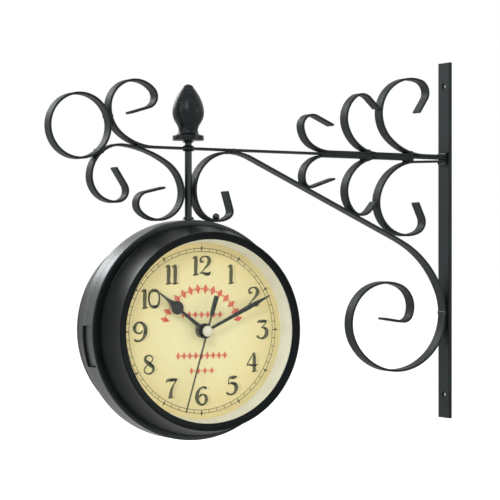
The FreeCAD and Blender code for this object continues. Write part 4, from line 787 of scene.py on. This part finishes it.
class CLOCK_OT_dials(bpy.types.Operator):
    """Printed dials: hours, minute track and a plain ornament, in raised ink"""
    bl_idname = "clock.dials"
    bl_label = "Dials"

    def execute(self, context):
        sizes = context.scene.clock_sizes
        for side in SIDES:
            frame["nodes"][side + "_dial"].data.materials[0] = finish("dial_print")
            self.hours(side, sizes)
            self.minute_track(side, sizes)
            self.ornament(side)
        return {"FINISHED"}

    def hours(self, side, sizes):
        """The twelve hours, upright, on their circle."""
        strokes = []
        for hour in range(1, 13):
            angle = math.radians(hour * 30.0)
            right = sizes.figure_ring * 1000.0 * math.sin(angle)
            up = sizes.figure_ring * 1000.0 * math.cos(angle)
            label = str(hour)
            place = HOUR_PLACES.get(label, (0.0, 0.0))
            for figure, shift in zip(label, FIGURE_SHIFTS.get(label, (0.0,))):
                strokes += [pen_stroke(stroke, right + place[0] + shift, up + place[1])
                            for stroke in STROKES[figure]]
        add_dial_piece(side, "hours", ribbons(strokes), "case", "dial_print", (), "figure_ink")

    def minute_track(self, side, sizes):
        """Two fine circles with a tick at each minute between them and a lozenge at each hour."""
        outer = sizes.track_outer * 1000.0
        inner = outer - sizes.track_width * 1000.0
        parts = []
        for radius in (inner, outer):
            parts.append(turned([(radius - 0.22, INK_FOOT), (radius + 0.22, INK_FOOT),
                                 (radius + 0.22, INK_TOP), (radius - 0.22, INK_TOP)], sizes.turned_steps))
        minute = math.radians(6.0)
        parts.append(repeated_marks("bar", True, "figure_ink", Count=60, Radius=(inner + outer) / 2.0,
                                    Start=0.0, Step=minute, Width=0.5, Length=outer - inner))
        parts.append(repeated_marks("lozenge", True, "figure_ink", MARK_LEVEL + 0.005, Count=12, Radius=outer,
                                    Start=0.0, Step=minute * 5.0, Width=2.1, Length=4.8))
        add_dial_piece(side, "minute_track", joined(parts), "case", "dial_print", (), "figure_ink")

    def ornament(self, side):
        """A band of lozenges and dots over the centre, and three short rows of the same."""
        spread = math.radians(74.0)
        count = 14
        step = 2.0 * spread / (count - 1)
        parts = [repeated_marks("lozenge", True, "ornament_ink", Count=count, Radius=35.0,
                                Start=-spread, Step=step, Width=4.9, Length=8.8),
                 repeated_marks("dot", True, "ornament_ink", Count=count - 1, Radius=35.0,
                                Start=-spread + step / 2.0, Step=step, Width=1.5, Length=1.5)]
        for height, reach, tall, count in ((13.4, 17.0, 6.4, 7), (-20.8, 21.5, 6.8, 9), (-33.4, 9.4, 6.0, 4)):
            pitch = 2.0 * reach / (count - 1)
            parts.append(repeated_marks("lozenge", False, "ornament_ink", Count=count, Radius=height,
                                        Start=-reach, Step=pitch, Width=3.7, Length=tall))
            parts.append(repeated_marks("dot", False, "ornament_ink", Count=count - 1, Radius=height,
                                        Start=-reach + pitch / 2.0, Step=pitch, Width=1.2, Length=1.2))
        add_dial_piece(side, "ornament", joined(parts), "case", "dial_print", (), "ornament_ink")


class CLOCK_OT_hands(bpy.types.Operator):
    """Hour, minute and second hands with the button over their arbor"""
    bl_idname = "clock.hands"
    bl_label = "Hands"

    def execute(self, context):
        sizes = context.scene.clock_sizes
        shapes = {"hour": self.hour_outline(), "minute": self.minute_outline(),
                  "second": self.second_outline()}
        for side in SIDES:
            for hand, half in shapes.items():
                whole = clockwise(half + [(-x, y) for x, y in reversed(half)], HAND_ANGLES[hand])
                body = side + "_" + hand
                blade = add_dial_piece(side, hand + "_blade", cut_out(whole, *HAND_LEVELS[hand]), body,
                                       "hand_paint", (body + "_hand",))
                soften(blade, sizes.hand_edge * 1000.0, 50.0)
            self.button(side, sizes.turned_steps // 2)
        return {"FINISHED"}

    def arc(self, centre, radius, first, last, steps=14):
        """Points on the right-hand side of a disc, angles counted up from straight below."""
        angles = [math.radians(first + (last - first) * step / steps) for step in range(steps + 1)]
        return [(radius * math.sin(a), centre - radius * math.cos(a)) for a in angles]

    def hour_outline(self):
        """Right half of the hour hand: hub, slim shaft, disc and a hollow-sided point."""
        outline = self.arc(0.0, 6.4, 2.0, 164.0)
        outline += self.arc(31.8, 5.6, 13.0, 133.0)
        point = curve_through([(3.9, 35.8), (2.6, 37.8), (1.7, 40.4), (1.1, 44.2), (0.75, 49.6),
                               (0.35, 54.9)], 3)
        return outline + [tuple(p) for p in point[1:]]

    def minute_outline(self):
        """Right half of the minute hand: hub and a long blade, widest near its end."""
        outline = self.arc(0.0, 5.0, 2.0, 166.0)
        blade = curve_through([(1.2, 5.5), (1.45, 22.0), (1.9, 40.0), (2.0, 45.5), (1.5, 54.5),
                               (0.3, 66.3)], 5)
        return outline + [tuple(p) for p in blade]

    def second_outline(self):
        """Right half of the second hand: flat-ended paddle, neck, hub and needle."""
        outline = [(0.01, -30.2), (2.2, -30.2), (2.1, -24.0), (1.95, -16.0), (1.4, -13.8), (0.8, -12.2),
                   (0.75, -3.7)]
        outline += self.arc(0.0, 3.6, 13.0, 168.0)
        return outline + [(0.75, 6.0), (0.66, 40.0), (0.52, 69.9)]

    def button(self, side, steps):
        """Domed pale button with a fine groove round its foot, on a dark ring."""
        low = HAND_LEVELS["second"][1]
        outline = [(0.0, low)] + rounded([(4.5, low, 0.0), (4.5, low + 0.45, 0.12), (4.2, low + 0.5, 0.1),
                                          (4.3, low + 1.1, 0.5), (3.4, low + 1.85, 0.8)], 4)
        outline += [(1.6, low + 1.97), (0.0, low + 2.0)]
        add_dial_piece(side, "button", turned(outline, steps), side + "_second", "pale_cap",
                       (side + "_hand_cap",))


class CLOCK_OT_works(bpy.types.Operator):
    """Finishes of the movements behind the dials and of the fixings in front of them"""
    bl_idname = "clock.works"
    bl_label = "Works"

    def execute(self, context):
        parts = {"movement_housing": "movement_black", "movement_cover": "movement_black",
                 "battery": "battery_wrap", "motor_coil": "copper_wire", "motor_stator": "iron_core",
                 "setting_knob": "white_gear", "hour_wheel": "white_gear", "minute_wheel": "white_gear",
                 "second_wheel": "white_gear"}
        for side in SIDES:
            for part, slot in parts.items():
                self.dress(side + "_" + part, slot)
        self.dress("dial_washers", "zinc")
        self.dress("dial_nuts", "black_screw")
        return {"FINISHED"}

    def dress(self, node, slot):
        """Give a CAD node its finish and leave its shape as it is."""
        materials = frame["nodes"][node].data.materials
        materials.clear()
        materials.append(finish(slot))


# Each soft box: name, place, width and height in metres, and power in watts.
LAMPS = (("key", (-1.35, -1.45, 1.15), 0.45, 0.45, 9.8), ("fill", (0.95, -1.35, 0.25), 0.6, 0.6, 3.4),
         ("top", (-0.2, 0.1, 1.5), 0.6, 0.6, 3.6), ("rear", (-0.7, 1.6, 0.8), 0.5, 0.5, 7.0),
         ("side", (-1.5, -0.2, 0.35), 0.25, 1.2, 3.0))
LAMP_AIM = Vector((-0.2, 0.0, 0.0))
# How far the floor lies below the clock, in metres.
FLOOR_DROP = 0.06
# What the white world gives as light, and what is added to the lit floor where the camera sees it.
WORLD_LIGHT, FLOOR_LIFT = 0.72, 0.5
# The camera's place and aim in metres, at one height, and its lens in millimetres.
CAMERA_PLACE, CAMERA_AIM, CAMERA_LENS = (-1.0381, -1.6873, -0.0086), (-0.1968, 0.0, -0.0086), 158.4


class CLOCK_OT_studio(bpy.types.Operator):
    """Pale floor, soft lamps, white surroundings and the camera"""
    bl_idname = "clock.studio"
    bl_label = "Studio"

    def execute(self, context):
        self.floor()
        self.surroundings(context.scene)
        for lamp in LAMPS:
            self.lamp(*lamp)
        self.camera(context.scene)
        context.scene.view_settings.view_transform = "Standard"
        return {"FINISHED"}

    def floor(self):
        """A wide sheet of paper below the clock."""
        bm = bmesh.new()
        bmesh.ops.create_grid(bm, x_segments=8, y_segments=8, size=9.0)
        bm.transform(Matrix.Translation((0.0, 0.0, cad_box[0].z - FLOOR_DROP)))
        mesh = bpy.data.meshes.new("studio_floor")
        bm.to_mesh(mesh)
        bm.free()
        plane = bpy.data.objects.new("studio_floor", mesh)
        bpy.context.scene.collection.objects.link(plane)
        # Matt white paper with fibre clouds of 3 mm: lit like paper, and lifted towards white where the
        # camera sees it, so that little but the shadow shows.
        material, tree, place = blank_finish("matt_white_paper")
        fibres = add_node(tree, "ShaderNodeTexNoise", {"Vector": place, "Scale": 300.0, "Detail": 3.0})
        tone = add_node(tree, "ShaderNodeMix", {
            0: fibres.outputs[0], 6: linear("#f1f1ef"), 7: linear("#f7f7f5")}, data_type="RGBA")
        paper = add_node(tree, "ShaderNodeBsdfDiffuse", {"Color": tone.outputs[2]})
        path = add_node(tree, "ShaderNodeLightPath")
        lift = add_node(tree, "ShaderNodeMath", {0: path.outputs["Is Camera Ray"], 1: FLOOR_LIFT},
                        operation="MULTIPLY")
        glow = add_node(tree, "ShaderNodeEmission", {"Strength": lift.outputs[0]})
        both = add_node(tree, "ShaderNodeAddShader", {0: paper.outputs[0], 1: glow.outputs[0]})
        add_node(tree, "ShaderNodeOutputMaterial", {"Surface": both.outputs[0]})
        mesh.materials.append(material)

    def surroundings(self, scene):
        """White where the camera, a gloss or the glass looks; a plain soft grey as light."""
        world = bpy.data.worlds.new("white_studio")
        world.use_nodes = True
        tree = world.node_tree
        tree.nodes.clear()
        path = add_node(tree, "ShaderNodeLightPath")
        seen = path.outputs["Is Camera Ray"]
        for ray in ("Is Glossy Ray", "Is Transmission Ray"):
            seen = add_node(tree, "ShaderNodeMath", {0: seen, 1: path.outputs[ray]},
                            operation="MAXIMUM").outputs[0]
        paper_white = linear("#ffffff")
        light, white = (
            add_node(tree, "ShaderNodeBackground", {"Color": paper_white, "Strength": strength}).outputs[0]
            for strength in (WORLD_LIGHT, 1.0))
        mixed = add_node(tree, "ShaderNodeMixShader", {0: seen, 1: light, 2: white})
        add_node(tree, "ShaderNodeOutputWorld", {"Surface": mixed.outputs[0]})
        scene.world = world

    def lamp(self, name, place, width, height, power):
        """One soft box, turned to the clock."""
        light = bpy.data.lights.new(name + "_softbox", "AREA")
        light.shape = "RECTANGLE"
        light.size = width
        light.size_y = height
        light.energy = power
        lamp = bpy.data.objects.new(name + "_softbox", light)
        bpy.context.scene.collection.objects.link(lamp)
        lamp.location = Vector(place)
        lamp.rotation_euler = (LAMP_AIM - lamp.location).to_track_quat("-Z", "Y").to_euler()

    def camera(self, scene):
        """Level, about 26 degrees to the left of the front dial, with a long lens."""
        eye, aim = Vector(CAMERA_PLACE), Vector(CAMERA_AIM)
        lens = bpy.data.cameras.new("catalogue_camera")
        lens.lens = CAMERA_LENS
        lens.sensor_width = 36.0
        lens.clip_start = 0.05
        lens.clip_end = 60.0
        camera = bpy.data.objects.new("catalogue_camera", lens)
        scene.collection.objects.link(camera)
        camera.location = eye
        camera.rotation_euler = (aim - eye).to_track_quat("-Z", "Y").to_euler()
        scene.camera = camera


class CLOCK_PT_parts(bpy.types.Panel):
    """The clock's pieces, sizes and colours"""
    bl_idname = "CLOCK_PT_parts"
    bl_label = "Bracket Station Clock"
    bl_space_type = "VIEW_3D"
    bl_region_type = "UI"
    bl_category = "Clock"

    def draw(self, context):
        for group in (context.scene.clock_sizes, context.scene.clock_colours):
            box = self.layout.box()
            for name in group.bl_rna.properties.keys():
                if name not in ("rna_type", "name"):
                    box.prop(group, name)
        for operator in OPERATORS:
            self.layout.operator(operator.bl_idname)


OPERATORS = (CLOCK_OT_scrollwork, CLOCK_OT_wall_fixing, CLOCK_OT_hanger, CLOCK_OT_case, CLOCK_OT_dials,
             CLOCK_OT_hands, CLOCK_OT_works, CLOCK_OT_studio)
CLASSES = (ClockSizes, ClockColours) + OPERATORS + (CLOCK_PT_parts,)


def register():
    for cls in CLASSES:
        bpy.utils.register_class(cls)
    bpy.types.Scene.clock_sizes = bpy.props.PointerProperty(type=ClockSizes)
    bpy.types.Scene.clock_colours = bpy.props.PointerProperty(type=ClockColours)


def unregister():
    del bpy.types.Scene.clock_colours
    del bpy.types.Scene.clock_sizes
    for cls in reversed(CLASSES):
        bpy.utils.unregister_class(cls)


def main():
    register()
    bpy.ops.clock.scrollwork()
    bpy.ops.clock.wall_fixing()
    bpy.ops.clock.hanger()
    bpy.ops.clock.case()
    bpy.ops.clock.dials()
    bpy.ops.clock.hands()
    bpy.ops.clock.works()
    bpy.ops.clock.studio()


if __name__ == "__main__":
    main()
